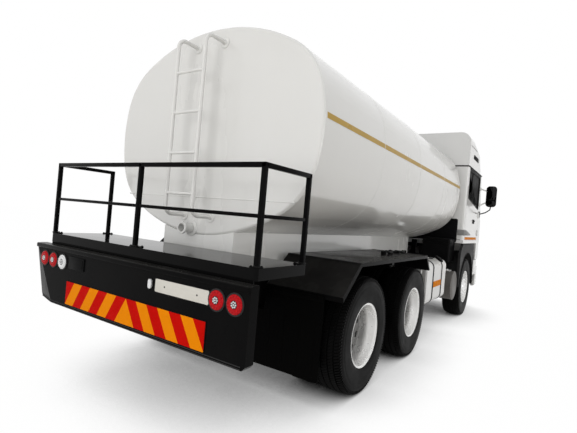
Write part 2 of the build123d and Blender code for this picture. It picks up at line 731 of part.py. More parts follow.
def knuckle(side):
    for low, high in ((KNUCKLE_LOW - ARM_T, KNUCKLE_LOW), (KNUCKLE_HIGH, KNUCKLE_HIGH + ARM_T)):
        bar_z(AXLE_1_X, side * KINGPIN_Y, EYE_R - 4, low, high)
        block(AXLE_1_X - 50, AXLE_1_X + 50, side * KINGPIN_Y, side * (KNUCKLE_Y + 34), low, high)
    block(
        AXLE_1_X - 50,
        AXLE_1_X + 50,
        side * KNUCKLE_Y,
        side * (KNUCKLE_Y + 34),
        KNUCKLE_LOW - ARM_T,
        KNUCKLE_HIGH + ARM_T,
    )
    bar_z(AXLE_1_X, side * KINGPIN_Y, KINGPIN_R, KNUCKLE_LOW - ARM_T, KNUCKLE_HIGH + ARM_T)
    bar_y(AXLE_1_X, TYRE_R, SPINDLE_R, side * KNUCKLE_Y, side * FRONT_SPINDLE_END)
    block(
        AXLE_1_X - ARM_LONG,
        AXLE_1_X,
        side * KINGPIN_Y - 20,
        side * KINGPIN_Y + 20,
        KNUCKLE_LOW - ARM_T,
        KNUCKLE_LOW,
    )
    bar_z(AXLE_1_X - ARM_LONG, side * KINGPIN_Y, 26, KNUCKLE_LOW - ARM_T, KNUCKLE_LOW)
    bar_z(AXLE_1_X - ARM_LONG, side * KINGPIN_Y, BALL_R, KNUCKLE_LOW - ARM_T - 50, KNUCKLE_LOW)


with BuildPart() as knuckle_left:
    knuckle(SIDES["left"])
save(knuckle_left, "knuckle_left")

with BuildPart() as knuckle_right:
    knuckle(SIDES["right"])
save(knuckle_right, "knuckle_right")

# Track rod between the arms' pins
ROD_TOP = KNUCKLE_LOW - ARM_T - 3
with BuildPart() as track_rod:
    bar_y(AXLE_1_X - ARM_LONG, ROD_TOP - 20, 18, -KINGPIN_Y, KINGPIN_Y)
    for side in SIDES.values():
        bar_z(AXLE_1_X - ARM_LONG, side * KINGPIN_Y, BALL_R + 16, ROD_TOP - 40, ROD_TOP)
    for side in SIDES.values():
        bar_z(
            AXLE_1_X - ARM_LONG,
            side * KINGPIN_Y,
            BALL_R + BALL_GAP,
            ROD_TOP - 40,
            ROD_TOP,
            mode=Mode.SUBTRACT,
        )
save(track_rod, "track_rod")

# Tyres and rims, turned about the axle; a runs outward from the tyre's middle, r from the axle
TYRE_BEAD = 118
TYRE_GAP = 0.4
TYRE_TREAD = 118


def tyre_ring(x, y):
    bead_r = RIM_R + TYRE_GAP
    with BuildSketch(Plane(origin=(x, y, TYRE_R), x_dir=(0, 1, 0), z_dir=(1, 0, 0))) as section:
        with BuildLine():
            Line((-TYRE_BEAD, bead_r), (TYRE_BEAD, bead_r))
            ThreePointArc((TYRE_BEAD, bead_r), (TYRE_W / 2, 0.8 * TYRE_R), (TYRE_W / 2 - 12, TYRE_R - 30))
            Line((TYRE_W / 2 - 12, TYRE_R - 30), (TYRE_TREAD, TYRE_R))
            Line((TYRE_TREAD, TYRE_R), (-TYRE_TREAD, TYRE_R))
            Line((-TYRE_TREAD, TYRE_R), (-TYRE_W / 2 + 12, TYRE_R - 30))
            ThreePointArc(
                (-TYRE_W / 2 + 12, TYRE_R - 30), (-TYRE_W / 2, 0.8 * TYRE_R), (-TYRE_BEAD, bead_r)
            )
        make_face()
    revolve(section.sketch, axis=Axis((x, y, TYRE_R), (0, 1, 0)))


BORE_R = SPINDLE_R + SPINDLE_GAP
BARREL_R = RIM_R - RIM_WALL


def turned(x, y, side, outlines):
    with BuildSketch(Plane(origin=(x, y, TYRE_R), x_dir=(0, side, 0), z_dir=(side, 0, 0))) as section:
        for outline in outlines:
            with BuildLine():
                Polyline(*outline, close=True)
            make_face()
    revolve(section.sketch, axis=Axis((x, y, TYRE_R), (0, 1, 0)))


def box_outline(a0, a1, r0, r1):
    return [(a0, r0), (a1, r0), (a1, r1), (a0, r1)]


def barrel(middle):
    return [box_outline(middle - RIM_HALF, middle + RIM_HALF, BARREL_R, RIM_R)]


def rear_rims(x, side):
    half = DUAL_PITCH / 2
    outlines = barrel(half) + barrel(-half)
    for way in (1, -1):
        outlines.append(
            [
                (0, BORE_R),
                (way * 14, BORE_R),
                (way * 14, 200),
                (way * 76, BARREL_R - 8),
                (way * 76, BARREL_R + 2),
                (way * 58, BARREL_R + 2),
                (0, 214),
            ]
        )
    outlines.append(box_outline(-120, 0, BORE_R, 196))
    outlines.append(box_outline(-215, -110, 180, 196))
    outlines.append(box_outline(0, 80, BORE_R, 108))
    outlines.append(box_outline(70, 84, 0, 108))
    turned(x, side * DUAL_Y, side, outlines)


def front_rim(side):
    outlines = barrel(0)
    outlines.append(
        [
            (75, BORE_R),
            (89, BORE_R),
            (89, 190),
            (44, BARREL_R - 6),
            (44, BARREL_R + 2),
            (26, BARREL_R + 2),
            (26, BARREL_R - 10),
            (75, 182),
        ]
    )
    outlines.append(box_outline(-60, 80, BORE_R, 112))
    outlines.append(box_outline(-60, -45, BORE_R, 200))
    outlines.append(box_outline(-85, -45, 186, 200))
    outlines.append(box_outline(84, 130, 0, 85))
    turned(AXLE_1_X, side * FRONT_Y, side, outlines)


with BuildPart() as front_tyre_left:
    tyre_ring(AXLE_1_X, FRONT_Y)
save(front_tyre_left, "front_tyre_left")

with BuildPart() as front_tyre_right:
    tyre_ring(AXLE_1_X, -FRONT_Y)
save(front_tyre_right, "front_tyre_right")

with BuildPart() as front_rim_left:
    front_rim(SIDES["left"])
save(front_rim_left, "front_rim_left")

with BuildPart() as front_rim_right:
    front_rim(SIDES["right"])
save(front_rim_right, "front_rim_right")

REAR_WHEELS = (
    ("axle2", AXLE_2_X, "left"),
    ("axle2", AXLE_2_X, "right"),
    ("axle3", AXLE_3_X, "left"),
    ("axle3", AXLE_3_X, "right"),
)
for axle, x, hand in REAR_WHEELS:
    side = SIDES[hand]
    with BuildPart() as rear_tyres:
        for reach in (1, -1):
            tyre_ring(x, side * (DUAL_Y + reach * DUAL_PITCH / 2))
    save(rear_tyres, f"{axle}_tyres_{hand}")
    with BuildPart() as rear_rim_pair:
        rear_rims(x, side)
    save(rear_rim_pair, f"{axle}_rims_{hand}")

# Front bumper wrapping the corners, with lamp pockets
BUMPER_REAR_X = BUMPER_FRONT_X - 308
LAMP_IN = BODY_HALF - 545
LAMP_OUT = BODY_HALF - 205
LAMP_LOW = 560
LAMP_HIGH = 720
LAMP_DEPTH = 60
with BuildPart() as front_bumper:
    block(BUMPER_REAR_X, BUMPER_FRONT_X, -BODY_HALF, BODY_HALF, BUMPER_BOTTOM, BUMPER_TOP)
    fillet(front_bumper.edges().filter_by(Axis.Z).group_by(Axis.X)[-1], 160)
    fillet(front_bumper.faces().sort_by(Axis.Z)[0].edges().group_by(Axis.X)[-1], 40)
    block(
        BUMPER_REAR_X,
        BUMPER_FRONT_X - BUMPER_WALL,
        -BODY_HALF + 70,
        BODY_HALF - 70,
        BUMPER_BOTTOM,
        BUMPER_TOP,
        mode=Mode.SUBTRACT,
    )
    for side in SIDES.values():
        block(
            RAIL_FRONT_X,
            BUMPER_FRONT_X - BUMPER_WALL,
            side * RAIL_INNER,
            side * RAIL_HALF,
            RAIL_BOTTOM + 10,
            BUMPER_TOP - 10,
        )
        block(
            BUMPER_FRONT_X - LAMP_DEPTH,
            BUMPER_FRONT_X,
            side * LAMP_IN,
            side * LAMP_OUT,
            LAMP_LOW,
            LAMP_HIGH,
            mode=Mode.SUBTRACT,
        )
save(front_bumper, "front_bumper")

with BuildPart() as headlamps:
    for side in SIDES.values():
        block(
            BUMPER_FRONT_X - LAMP_DEPTH,
            BUMPER_FRONT_X - 6,
            side * LAMP_IN,
            side * LAMP_OUT,
            LAMP_LOW,
            LAMP_HIGH,
        )
save(headlamps, "headlamps")

# Front wings: arch liner, outer flange and step box ahead of the wheel
WING_REAR_X = AXLE_1_X - ARCH_R - 60
WING_INNER = BODY_HALF - 34
STEP_X = AXLE_1_X + ARCH_R + 20
STEP_LONG = BUMPER_REAR_X - DOOR_GAP - STEP_X
STEP_INNER = BODY_HALF - 445
LINER_T = 16
STEP_TREAD = STEP_WAIST - 10
STEP_OPEN = 150
with BuildPart() as front_wings:
    for side in SIDES.values():
        slab(
            [
                (WING_REAR_X, TYRE_R + 60),
                (WING_REAR_X, WING_TOP - 160),
                (WING_REAR_X + 160, WING_TOP),
                (STEP_X - 60, WING_TOP),
                (STEP_X + 60, STEP_TOP),
                (STEP_X + 60, TYRE_R),
            ],
            side * WING_INNER,
            side * BODY_HALF,
        )
        step_end = BUMPER_REAR_X - DOOR_GAP
        step_outer = BODY_HALF - STEP_SET_IN
        block(STEP_X, step_end, side * STEP_INNER, side * BODY_HALF, STEP_WAIST, STEP_TOP)
        block(STEP_X, step_end, side * STEP_INNER, side * step_outer, STEP_BOTTOM, STEP_WAIST)
        bar_y(AXLE_1_X, TYRE_R, ARCH_R + LINER_T, side * STEP_INNER, side * WING_INNER)
        block(
            AXLE_1_X - ARCH_R - LINER_T,
            AXLE_1_X + ARCH_R + LINER_T,
            side * STEP_INNER,
            side * WING_INNER,
            TYRE_R - ARCH_R - LINER_T,
            TYRE_R + 60,
            mode=Mode.SUBTRACT,
        )
        bar_y(AXLE_1_X, TYRE_R, ARCH_R, side * STEP_INNER, side * BODY_HALF, mode=Mode.SUBTRACT)
        block(
            AXLE_1_X - ARCH_R,
            AXLE_1_X + ARCH_R,
            side * STEP_INNER,
            side * BODY_HALF,
            0,
            TYRE_R,
            mode=Mode.SUBTRACT,
        )
        block(
            STEP_X + 0.185 * STEP_LONG,
            STEP_X + 0.83 * STEP_LONG,
            side * (BODY_HALF - 160),
            side * step_outer,
            STEP_TREAD - STEP_OPEN,
            STEP_TREAD,
            mode=Mode.SUBTRACT,
        )
        block(
            AXLE_1_X - 40,
            AXLE_1_X + 40,
            side * RAIL_INNER,
            side * RAIL_HALF,
            RAIL_TOP,
            TYRE_R + ARCH_R + 34,
        )
        block(
            AXLE_1_X - 40,
            AXLE_1_X + 40,
            side * RAIL_INNER,
            side * (STEP_INNER + 60),
            TYRE_R + ARCH_R + 4,
            TYRE_R + ARCH_R + 34,
        )
        block(
            STEP_X + 0.37 * STEP_LONG,
            STEP_X + 0.55 * STEP_LONG,
            side * RAIL_HALF,
            side * (STEP_INNER + 20),
            RAIL_BOTTOM + 60,
            RAIL_TOP - 60,
        )
save(front_wings, "front_wings")

# Cab floor, sill to sill, reaching forward inside the front panel
FLOOR_TOP = CAB_FLOOR + FLOOR_T
FRONT_REAR_X = DOOR_FRONT_X + HINGE_GAP
with BuildPart() as cab_floor:
    block(CAB_X, FRONT_REAR_X, -BODY_HALF, BODY_HALF, CAB_FLOOR, FLOOR_TOP)
    block(
        FRONT_REAR_X,
        CAB_FRONT_X - CAB_WALL,
        -BODY_HALF + CAB_WALL,
        BODY_HALF - CAB_WALL,
        CAB_FLOOR,
        FLOOR_TOP,
    )
save(cab_floor, "cab_floor")

# Cab back wall with its corner posts
BACK_FRONT_X = DOOR_REAR_X - DOOR_GAP
with BuildPart() as cab_back:
    block(CAB_X, BACK_FRONT_X, -BODY_HALF, BODY_HALF, FLOOR_TOP, ROOF_SEAM)
    fillet(cab_back.edges().filter_by(Axis.Z).group_by(Axis.X)[0], 45)
    block(
        CAB_X + CAB_WALL,
        BACK_FRONT_X,
        -BODY_HALF + CAB_WALL,
        BODY_HALF - CAB_WALL,
        FLOOR_TOP,
        ROOF_SEAM,
        mode=Mode.SUBTRACT,
    )
save(cab_back, "cab_back")

# Cab front: raked screen opening over an upright panel with grille slots, corner posts, pivot lugs below
NOSE_Z = 1560
SCREEN_FOOT_X = CAB_FRONT_X - 40
SCREEN_FOOT_Z = 1800
SCREEN_HEAD_X = CAB_FRONT_X - 300
SCREEN_HALF = BODY_HALF - 165
SCREEN_LOW = 1860
SCREEN_HIGH = 2620
SCREEN_R = 60
SCREEN_INSET = 20
GRILLE_Z = (1080, 1180, 1280, 1380)
GRILLE_H = 62
GRILLE_HALF = BODY_HALF - 400
GRILLE_DEEP = 34
LUG_IN = 290
LUG_OUT = 340
HINGE_X = DOOR_FRONT_X + HINGE_GAP / 2
HINGE_Y = BODY_HALF + DOOR_GAP
HINGE_Z = (1540, 1900)
HINGE_R = 13
HINGE_PIN_R = 6
HINGE_PIN_GAP = 0.4
BARREL_HALF = 30
TAB = 28
with BuildPart() as cab_front:
    slab(
        [
            (FRONT_REAR_X, SKIRT_Z),
            (CAB_FRONT_X, SKIRT_Z),
            (CAB_FRONT_X, NOSE_Z),
            (SCREEN_FOOT_X, SCREEN_FOOT_Z),
            (SCREEN_HEAD_X, ROOF_SEAM),
            (FRONT_REAR_X, ROOF_SEAM),
        ],
        -BODY_HALF,
        BODY_HALF,
    )
    front_corner = cab_front.edges().filter_by(lambda e: abs(abs(e.center().Y) - BODY_HALF) < 1)
    fillet(front_corner.filter_by(lambda e: e.center().X > FRONT_REAR_X + 60 and e.center().Z > SKIRT_Z + 5
                                  and e.center().Z < ROOF_SEAM - 5), 68)
    slab(
        [
            (FRONT_REAR_X, SKIRT_Z),
            (CAB_FRONT_X - CAB_WALL, SKIRT_Z),
            (CAB_FRONT_X - CAB_WALL, NOSE_Z),
            (SCREEN_FOOT_X - CAB_WALL, SCREEN_FOOT_Z),
            (SCREEN_HEAD_X - CAB_WALL, ROOF_SEAM),
            (FRONT_REAR_X, ROOF_SEAM),
        ],
        -BODY_HALF + CAB_WALL,
        BODY_HALF - CAB_WALL,
        mode=Mode.SUBTRACT,
    )
    with BuildSketch(across_plane(FRONT_REAR_X, (SCREEN_LOW + SCREEN_HIGH) / 2)):
        RectangleRounded(2 * SCREEN_HALF, SCREEN_HIGH - SCREEN_LOW, SCREEN_R)
    extrude(amount=CAB_FRONT_X - FRONT_REAR_X, mode=Mode.SUBTRACT)
    for z in GRILLE_Z:
        block(
            CAB_FRONT_X - GRILLE_DEEP,
            CAB_FRONT_X,
            -GRILLE_HALF,
            GRILLE_HALF,
            z,
            z + GRILLE_H,
            mode=Mode.SUBTRACT,
        )
    for side in SIDES.values():
        block(PIVOT_X - 30, PIVOT_X + 25, side * LUG_IN, side * LUG_OUT, PIVOT_Z - 40, SKIRT_Z + 60)
        bar_y(PIVOT_X, PIVOT_Z, PIVOT_R + PIVOT_GAP, side * LUG_IN, side * LUG_OUT, mode=Mode.SUBTRACT)
        for z in HINGE_Z:
            reach = BARREL_HALF + EYE_GAP
            bar_z(HINGE_X, side * HINGE_Y, HINGE_R + DOOR_GAP, z - reach, z + reach, mode=Mode.SUBTRACT)
            bar_z(HINGE_X, side * HINGE_Y, HINGE_R, z + reach, z + reach + TAB)
            bar_z(HINGE_X, side * HINGE_Y, HINGE_R, z - reach - TAB, z - reach)
            bar_z(HINGE_X, side * HINGE_Y, HINGE_PIN_R, z - reach, z + reach)
save(cab_front, "cab_front")

RAKE = (SCREEN_FOOT_X - SCREEN_HEAD_X) / (ROOF_SEAM - SCREEN_FOOT_Z)


def screen_x(z):
    return SCREEN_FOOT_X - RAKE * (z - SCREEN_FOOT_Z)


with BuildPart() as windscreen:
    with BuildSketch(across_plane(FRONT_REAR_X, (SCREEN_LOW + SCREEN_HIGH) / 2)):
        RectangleRounded(2 * SCREEN_HALF, SCREEN_HIGH - SCREEN_LOW, SCREEN_R)
    extrude(amount=CAB_FRONT_X - FRONT_REAR_X)
    slab(
        [
            (screen_x(SCREEN_LOW) - SCREEN_INSET, SCREEN_LOW),
            (screen_x(SCREEN_HIGH) - SCREEN_INSET, SCREEN_HIGH),
            (screen_x(SCREEN_HIGH) - SCREEN_INSET - GLASS_T, SCREEN_HIGH),
            (screen_x(SCREEN_LOW) - SCREEN_INSET - GLASS_T, SCREEN_LOW),
        ],
        -SCREEN_HALF,
        SCREEN_HALF,
        mode=Mode.INTERSECT,
    )
save(windscreen, "windscreen")

# High roof, a hollow moulding on the cab's seam
ROOF_CREST_X = CAB_X + 470
ROOF_BROW_X = CAB_FRONT_X - 650
ROOF_BROW_Z = ROOF_SEAM + 0.78 * ROOF_RISE
ROOF_EDGE_R = 0.3 * ROOF_RISE


def round_roof_sides(mould, half, rear_x, radius):
    side_edges = mould.edges().filter_by(lambda e: abs(abs(e.center().Y) - half) < 1)
    upper = side_edges.filter_by(lambda e: e.center().Z > ROOF_SEAM + 5 and e.center().X > rear_x + 5)
    fillet(upper, radius)


with BuildPart() as roof_hollow:
    slab(
        [
            (CAB_X + ROOF_T, ROOF_SEAM),
            (CAB_X + ROOF_T, ROOF_TOP - ROOF_T),
            (ROOF_CREST_X - 10, ROOF_TOP - ROOF_T),
            (ROOF_BROW_X - 20, ROOF_BROW_Z - ROOF_T),
            (SCREEN_HEAD_X - 70, ROOF_SEAM),
        ],
        -BODY_HALF + ROOF_T,
        BODY_HALF - ROOF_T,
    )
    round_roof_sides(roof_hollow, BODY_HALF - ROOF_T, CAB_X + ROOF_T, ROOF_EDGE_R - ROOF_T)
with BuildPart() as cab_roof:
    slab(
        [
            (CAB_X, ROOF_SEAM),
            (CAB_X, ROOF_TOP),
            (ROOF_CREST_X, ROOF_TOP),
            (ROOF_BROW_X, ROOF_BROW_Z),
            (SCREEN_HEAD_X, ROOF_SEAM),
        ],
        -BODY_HALF,
        BODY_HALF,
    )
    round_roof_sides(cab_roof, BODY_HALF, CAB_X, ROOF_EDGE_R)
    add(roof_hollow.part, mode=Mode.SUBTRACT)
save(cab_roof, "cab_roof")

# Doors hung at their front edge, and their panes
DOOR_LOW = FLOOR_TOP + DOOR_GAP
DOOR_HIGH = ROOF_SEAM - DOOR_GAP
WINDOW = (
    (DOOR_REAR_X + 60, 2160),
    (DOOR_FRONT_X - 100, 2020),
    (DOOR_FRONT_X - 100, 2640),
    (DOOR_REAR_X + 60, 2640),
)


def door(side):
    block(
        DOOR_REAR_X, DOOR_FRONT_X, side * (BODY_HALF - CAB_WALL), side * BODY_HALF, DOOR_LOW, DOOR_HIGH
    )
    slab(WINDOW, side * (BODY_HALF - CAB_WALL), side * BODY_HALF, mode=Mode.SUBTRACT)
    for z in HINGE_Z:
        reach = BARREL_HALF + EYE_GAP + TAB + EYE_GAP
        bar_z(HINGE_X, side * HINGE_Y, HINGE_R + DOOR_GAP, z - reach, z + reach, mode=Mode.SUBTRACT)
        block(
            HINGE_X - HINGE_R - DOOR_GAP - 20,
            HINGE_X,
            side * (BODY_HALF - 8),
            side * (HINGE_Y + HINGE_R),
            z - BARREL_HALF,
            z + BARREL_HALF,
        )
        bar_z(HINGE_X, side * HINGE_Y, HINGE_R, z - BARREL_HALF, z + BARREL_HALF)
        bar_z(
            HINGE_X,
            side * HINGE_Y,
            HINGE_PIN_R + HINGE_PIN_GAP,
            z - BARREL_HALF,
            z + BARREL_HALF,
            mode=Mode.SUBTRACT,
        )


def pane(side):
    slab(WINDOW, side * (BODY_HALF - CAB_WALL / 2), side * (BODY_HALF - CAB_WALL / 2 + GLASS_T))


with BuildPart() as door_left:
    door(SIDES["left"])
save(door_left, "door_left")

with BuildPart() as door_right:
    door(SIDES["right"])
save(door_right, "door_right")

with BuildPart() as door_glass_left:
    pane(SIDES["left"])
save(door_glass_left, "door_glass_left")

with BuildPart() as door_glass_right:
    pane(SIDES["right"])
save(door_glass_right, "door_glass_right")

# Mirrors on arms from the corner posts
MIRROR_X = CAB_FRONT_X - 300
MIRROR_Y = BODY_HALF + 210
MIRROR_Z = 2290
MIRROR_W = 250
MIRROR_H = 440
MIRROR_T = 90
with BuildPart() as mirrors:
    for side in SIDES.values():
        with Locations((MIRROR_X, side * MIRROR_Y, MIRROR_Z)):
            Box(MIRROR_T, MIRROR_W, MIRROR_H)
    fillet(mirrors.edges(), 28)
    for side in SIDES.values():
        for z in (MIRROR_Z - 120, MIRROR_Z + 120):
            bar_y(MIRROR_X - 20, z, 14, side * BODY_HALF, side * MIRROR_Y)
save(mirrors, "mirrors")

# Two seats on pedestals
SEAT_X = CAB_X + 320
SEAT_Y = BODY_HALF - 645
SEAT_HALF = 250
with BuildPart() as seats:
    for side in SIDES.values():
        slab(
            [
                (SEAT_X + 120, FLOOR_TOP),
                (SEAT_X + 520, FLOOR_TOP),
                (SEAT_X + 600, FLOOR_TOP + 240),
                (SEAT_X + 600, FLOOR_TOP + 400),
                (SEAT_X + 170, FLOOR_TOP + 370),
                (SEAT_X + 90, FLOOR_TOP + 1100),
                (SEAT_X - 20, FLOOR_TOP + 1100),
                (SEAT_X + 30, FLOOR_TOP + 240),
            ],
            side * SEAT_Y - SEAT_HALF,
            side * SEAT_Y + SEAT_HALF,
        )
save(seats, "seats")

# Fascia on a centre console, with the steering wheel on its column
DASH_X = CAB_FRONT_X - 520
WHEEL_X = DASH_X - 130
WHEEL_Z = FLOOR_TOP + 600
WHEEL_R = 225
COLUMN_TILT = 55
with BuildPart() as dashboard:
    slab(
        [
            (DASH_X, FLOOR_TOP + 340),
            (DASH_X - 20, FLOOR_TOP + 520),
            (DASH_X + 80, FLOOR_TOP + 570),
            (DASH_X + 330, FLOOR_TOP + 450),
            (DASH_X + 360, FLOOR_TOP + 340),
        ],
        -BODY_HALF + CAB_WALL + 15,
        BODY_HALF - CAB_WALL - 15,
    )
    block(DASH_X + 60, DASH_X + 320, -230, 230, FLOOR_TOP, FLOOR_TOP + 360)
    with Locations(Location((WHEEL_X, -SEAT_Y, WHEEL_Z), (0, 90 - COLUMN_TILT - 90, 0))):
        Torus(WHEEL_R, 16)
        Cylinder(50, 40)
        Box(2 * WHEEL_R, 50, 16)
    with Locations(Location((WHEEL_X, -SEAT_Y, WHEEL_Z), (0, -COLUMN_TILT, 0))):
        Cylinder(28, 320, align=(Align.CENTER, Align.CENTER, Align.MAX))
save(dashboard, "dashboard")
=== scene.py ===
import math

import bmesh
import bpy
from mathutils import Matrix, Vector


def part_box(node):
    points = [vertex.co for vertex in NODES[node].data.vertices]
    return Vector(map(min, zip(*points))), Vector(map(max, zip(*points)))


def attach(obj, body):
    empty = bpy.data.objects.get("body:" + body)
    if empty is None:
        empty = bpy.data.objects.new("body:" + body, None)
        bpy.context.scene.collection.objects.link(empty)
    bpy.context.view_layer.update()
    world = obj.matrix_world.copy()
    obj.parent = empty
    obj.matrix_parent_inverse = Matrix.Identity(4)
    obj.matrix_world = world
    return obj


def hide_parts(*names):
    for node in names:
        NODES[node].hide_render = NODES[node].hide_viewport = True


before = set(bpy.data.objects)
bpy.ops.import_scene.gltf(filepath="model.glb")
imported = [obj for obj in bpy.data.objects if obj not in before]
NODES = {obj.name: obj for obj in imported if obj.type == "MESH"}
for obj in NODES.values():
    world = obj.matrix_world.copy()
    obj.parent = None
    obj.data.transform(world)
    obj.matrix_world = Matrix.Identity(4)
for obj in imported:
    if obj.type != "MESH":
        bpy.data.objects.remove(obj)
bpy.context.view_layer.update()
SCENE = bpy.context.scene

# Places in metres: X forward, Y left, Z up

SIDES = {"left": 1, "right": -1}
AHEAD, AFT, LEFT, UP = (1, 0, 0), (-1, 0, 0), (0, 1, 0), (0, 0, 1)
AXLES = {"axle3": -2.148, "axle2": -0.712, "front": 2.562}
TYRE_R = 0.525
OUTER_Y, DUAL_Y, INNER_Y = 1.09, 0.92, 0.75
TAIL = -3.838
TANK_X0, TANK_X1, TANK_Z = -3.118, 1.902, 2.206
TANK_HALF_W, TANK_HALF_H = 1.167, 0.894
CROWN_R, FLANK_R, CORNER_R = 1.7, 1.25, 0.6
CAB_X0, CAB_Y = 1.992, 1.245


def span(side, one, two):
    return sorted((side * one, side * two))


def turns(count, shift=0.0):
    return [2 * math.pi * (k + shift) / count for k in range(count)]


# Materials


def add_node(tree, kind, values, links):
    node = tree.nodes.new("ShaderNode" + kind)
    for key, value in values.items():
        node.inputs[key].default_value = value
    for key, source in links.items():
        tree.links.new(source, node.inputs[key])
    return node


def spread(tree, source, low, high, start=0.3, end=0.7):
    values = {"From Min": start, "From Max": end, "To Min": low, "To Max": high}
    return add_node(tree, "MapRange", values, {"Value": source}).outputs["Result"]


def noise(tree, vector, scale, detail, rough=0.55):
    values = {"Scale": scale, "Detail": detail, "Roughness": rough}
    return add_node(tree, "TexNoise", values, {"Vector": vector}).outputs["Fac"]


def height_of(tree, vector):
    return add_node(tree, "SeparateXYZ", {}, {"Vector": vector}).outputs["Z"]


def mixed(tree, factor, one, two):
    node = tree.nodes.new("ShaderNodeMix")
    node.data_type = "RGBA"
    if isinstance(one, tuple):
        node.inputs[6].default_value = (*one, 1.0)
    else:
        tree.links.new(one, node.inputs[6])
    node.inputs[7].default_value = (*two, 1.0)
    tree.links.new(factor, node.inputs[0])
    return node.outputs[2]


def calc(tree, kind, one, two):
    node = tree.nodes.new("ShaderNodeMath")
    node.operation = kind
    for spot, value in enumerate((one, two)):
        if isinstance(value, (int, float)):
            node.inputs[spot].default_value = value
        else:
            tree.links.new(value, node.inputs[spot])
    return node.outputs[0]


def straight_rays(tree):
    # rays of the camera, through glass and off a gloss
    rays = tree.nodes.new("ShaderNodeLightPath").outputs
    seen = calc(tree, "MAXIMUM", rays["Is Camera Ray"], rays["Is Transmission Ray"])
    return calc(tree, "MAXIMUM", seen, rays["Is Glossy Ray"])


def surface(
    name, colour, rough, tint, tint_scale, tint_share, stretch=(1, 1, 1), grain=90.0, bump=0.05,
    metal=0.0, coat=0.0, dust=None, dust_share=0.35, specular=0.5,
):
    mat = bpy.data.materials.new(name)
    mat.use_nodes = True
    tree = mat.node_tree
    shader = tree.nodes["Principled BSDF"].inputs
    shader["Metallic"].default_value = metal
    shader["Specular IOR Level"].default_value = specular
    shader["Coat Weight"].default_value = coat
    shader["Coat Roughness"].default_value = 0.06
    coord = tree.nodes.new("ShaderNodeTexCoord").outputs["Object"]
    placed = add_node(tree, "Mapping", {"Scale": stretch}, {"Vector": coord}).outputs["Vector"]
    broad = noise(tree, placed, tint_scale, 6.0, 0.6)
    fine = noise(tree, placed, grain, 3.0)
    paint = mixed(tree, spread(tree, broad, 0.0, tint_share), colour, tint)
    if dust:
        normal = tree.nodes.new("ShaderNodeNewGeometry").outputs["Normal"]
        facing = spread(tree, height_of(tree, normal), 0.0, dust_share, 0.2, 1.0)
        lying = calc(tree, "MULTIPLY", facing, spread(tree, broad, 0.25, 1.0))
        paint = mixed(tree, lying, paint, dust)
    tree.links.new(paint, shader["Base Color"])
    tree.links.new(spread(tree, broad, *rough), shader["Roughness"])
    lift = add_node(tree, "Bump", {"Strength": bump, "Distance": 0.002}, {"Height": fine})
    tree.links.new(lift.outputs["Normal"], shader["Normal"])
    mat.diffuse_color = (*colour, 1.0)
    return mat


WHITE = surface(
    "white_enamel", (0.78, 0.78, 0.765), (0.16, 0.3), (0.7, 0.695, 0.67), 0.9, 0.5,
    stretch=(1, 1, 0.35), grain=240, bump=0.02, coat=0.5,
)
CAB_WHITE = surface(
    "cab_enamel", (0.8, 0.8, 0.79), (0.14, 0.26), (0.74, 0.74, 0.72), 1.6, 0.4,
    stretch=(1, 1, 0.5), grain=260, bump=0.02, coat=0.5,
)
BLACK = surface(
    "black_enamel", (0.0032, 0.0032, 0.0035), (0.2, 0.36), (0.006, 0.0057, 0.0054), 2.2, 0.6,
    grain=190, bump=0.03, dust=(0.055, 0.053, 0.05), dust_share=0.45, specular=0.02,
)
DECK = surface(
    "deck_enamel", (0.0026, 0.0026, 0.0028), (0.05, 0.13), (0.005, 0.0047, 0.0044), 2.2, 0.6,
    grain=60, bump=0.015, specular=0.045,
)
CHASSIS = surface(
    "chassis_paint", (0.0022, 0.0022, 0.0025), (0.4, 0.62), (0.005, 0.0046, 0.004), 3, 0.7,
    grain=120, bump=0.12, dust=(0.022, 0.021, 0.018), specular=0.025,
)
RUBBER = surface(
    "tyre_rubber", (0.002, 0.002, 0.0021), (0.4, 0.58), (0.0042, 0.004, 0.0038), 5, 0.7,
    grain=220, bump=0.12, specular=0.04,
)
FLAP = surface(
    "flap_rubber", (0.0018, 0.0018, 0.0018), (0.45, 0.65), (0.0035, 0.0033, 0.0031), 3, 0.7,
    grain=300, bump=0.1, specular=0.015,
)
RIM = surface(
    "rim_aluminium_paint", (0.93, 0.93, 0.925), (0.22, 0.36), (0.8, 0.785, 0.76), 6, 0.5,
    grain=160, metal=0.6,
)
CHROME = surface(
    "bright_steel", (0.8, 0.8, 0.8), (0.1, 0.22), (0.55, 0.53, 0.5), 9, 0.4,
    bump=0.03, metal=1.0,
)
ALLOY = surface(
    "fuel_tank_alloy", (0.74, 0.74, 0.73), (0.26, 0.42), (0.62, 0.61, 0.59), 3, 0.5,
    stretch=(1, 6, 1), grain=60, bump=0.03, metal=0.35,
)
# the drum's steel grey, darkened further as painted shade for the drum lying in shadow between fuel tank and
# cab
SHADED_DRUM_STEEL = surface(
    "drum_steel", (0.12, 0.114, 0.107), (0.42, 0.6), (0.088, 0.076, 0.065), 4, 0.6,
    stretch=(1, 8, 1), grain=50, bump=0.08, metal=0.2,
)
IRON = surface(
    "cast_iron", (0.1, 0.1, 0.105), (0.5, 0.75), (0.06, 0.05, 0.042), 4, 0.7,
    grain=70, bump=0.3, metal=0.3,
)
PLASTIC = surface(
    "black_plastic", (0.003, 0.003, 0.0032), (0.38, 0.55), (0.0052, 0.0052, 0.0055), 4, 0.6,
    grain=600, bump=0.18, specular=0.04,
)
GREY = surface(
    "grey_plastic", (0.026, 0.026, 0.027), (0.42, 0.62), (0.036, 0.035, 0.034), 3, 0.6,
    grain=500, bump=0.18, specular=0.06,
)
# mid grey for the cab corner and door ducts: painted shade, the tone they show in shadow
PAINTED_SHADE_GREY = surface(
    "duct_grey_painted_shade", (0.26, 0.26, 0.255), (0.4, 0.58), (0.21, 0.21, 0.205), 4, 0.5,
    grain=420, bump=0.12, specular=0.3,
)
GOLD = surface(
    "gold_vinyl", (0.52, 0.335, 0.065), (0.26, 0.4), (0.44, 0.285, 0.06), 3, 0.5,
    grain=400, bump=0.04, specular=0.12,
)
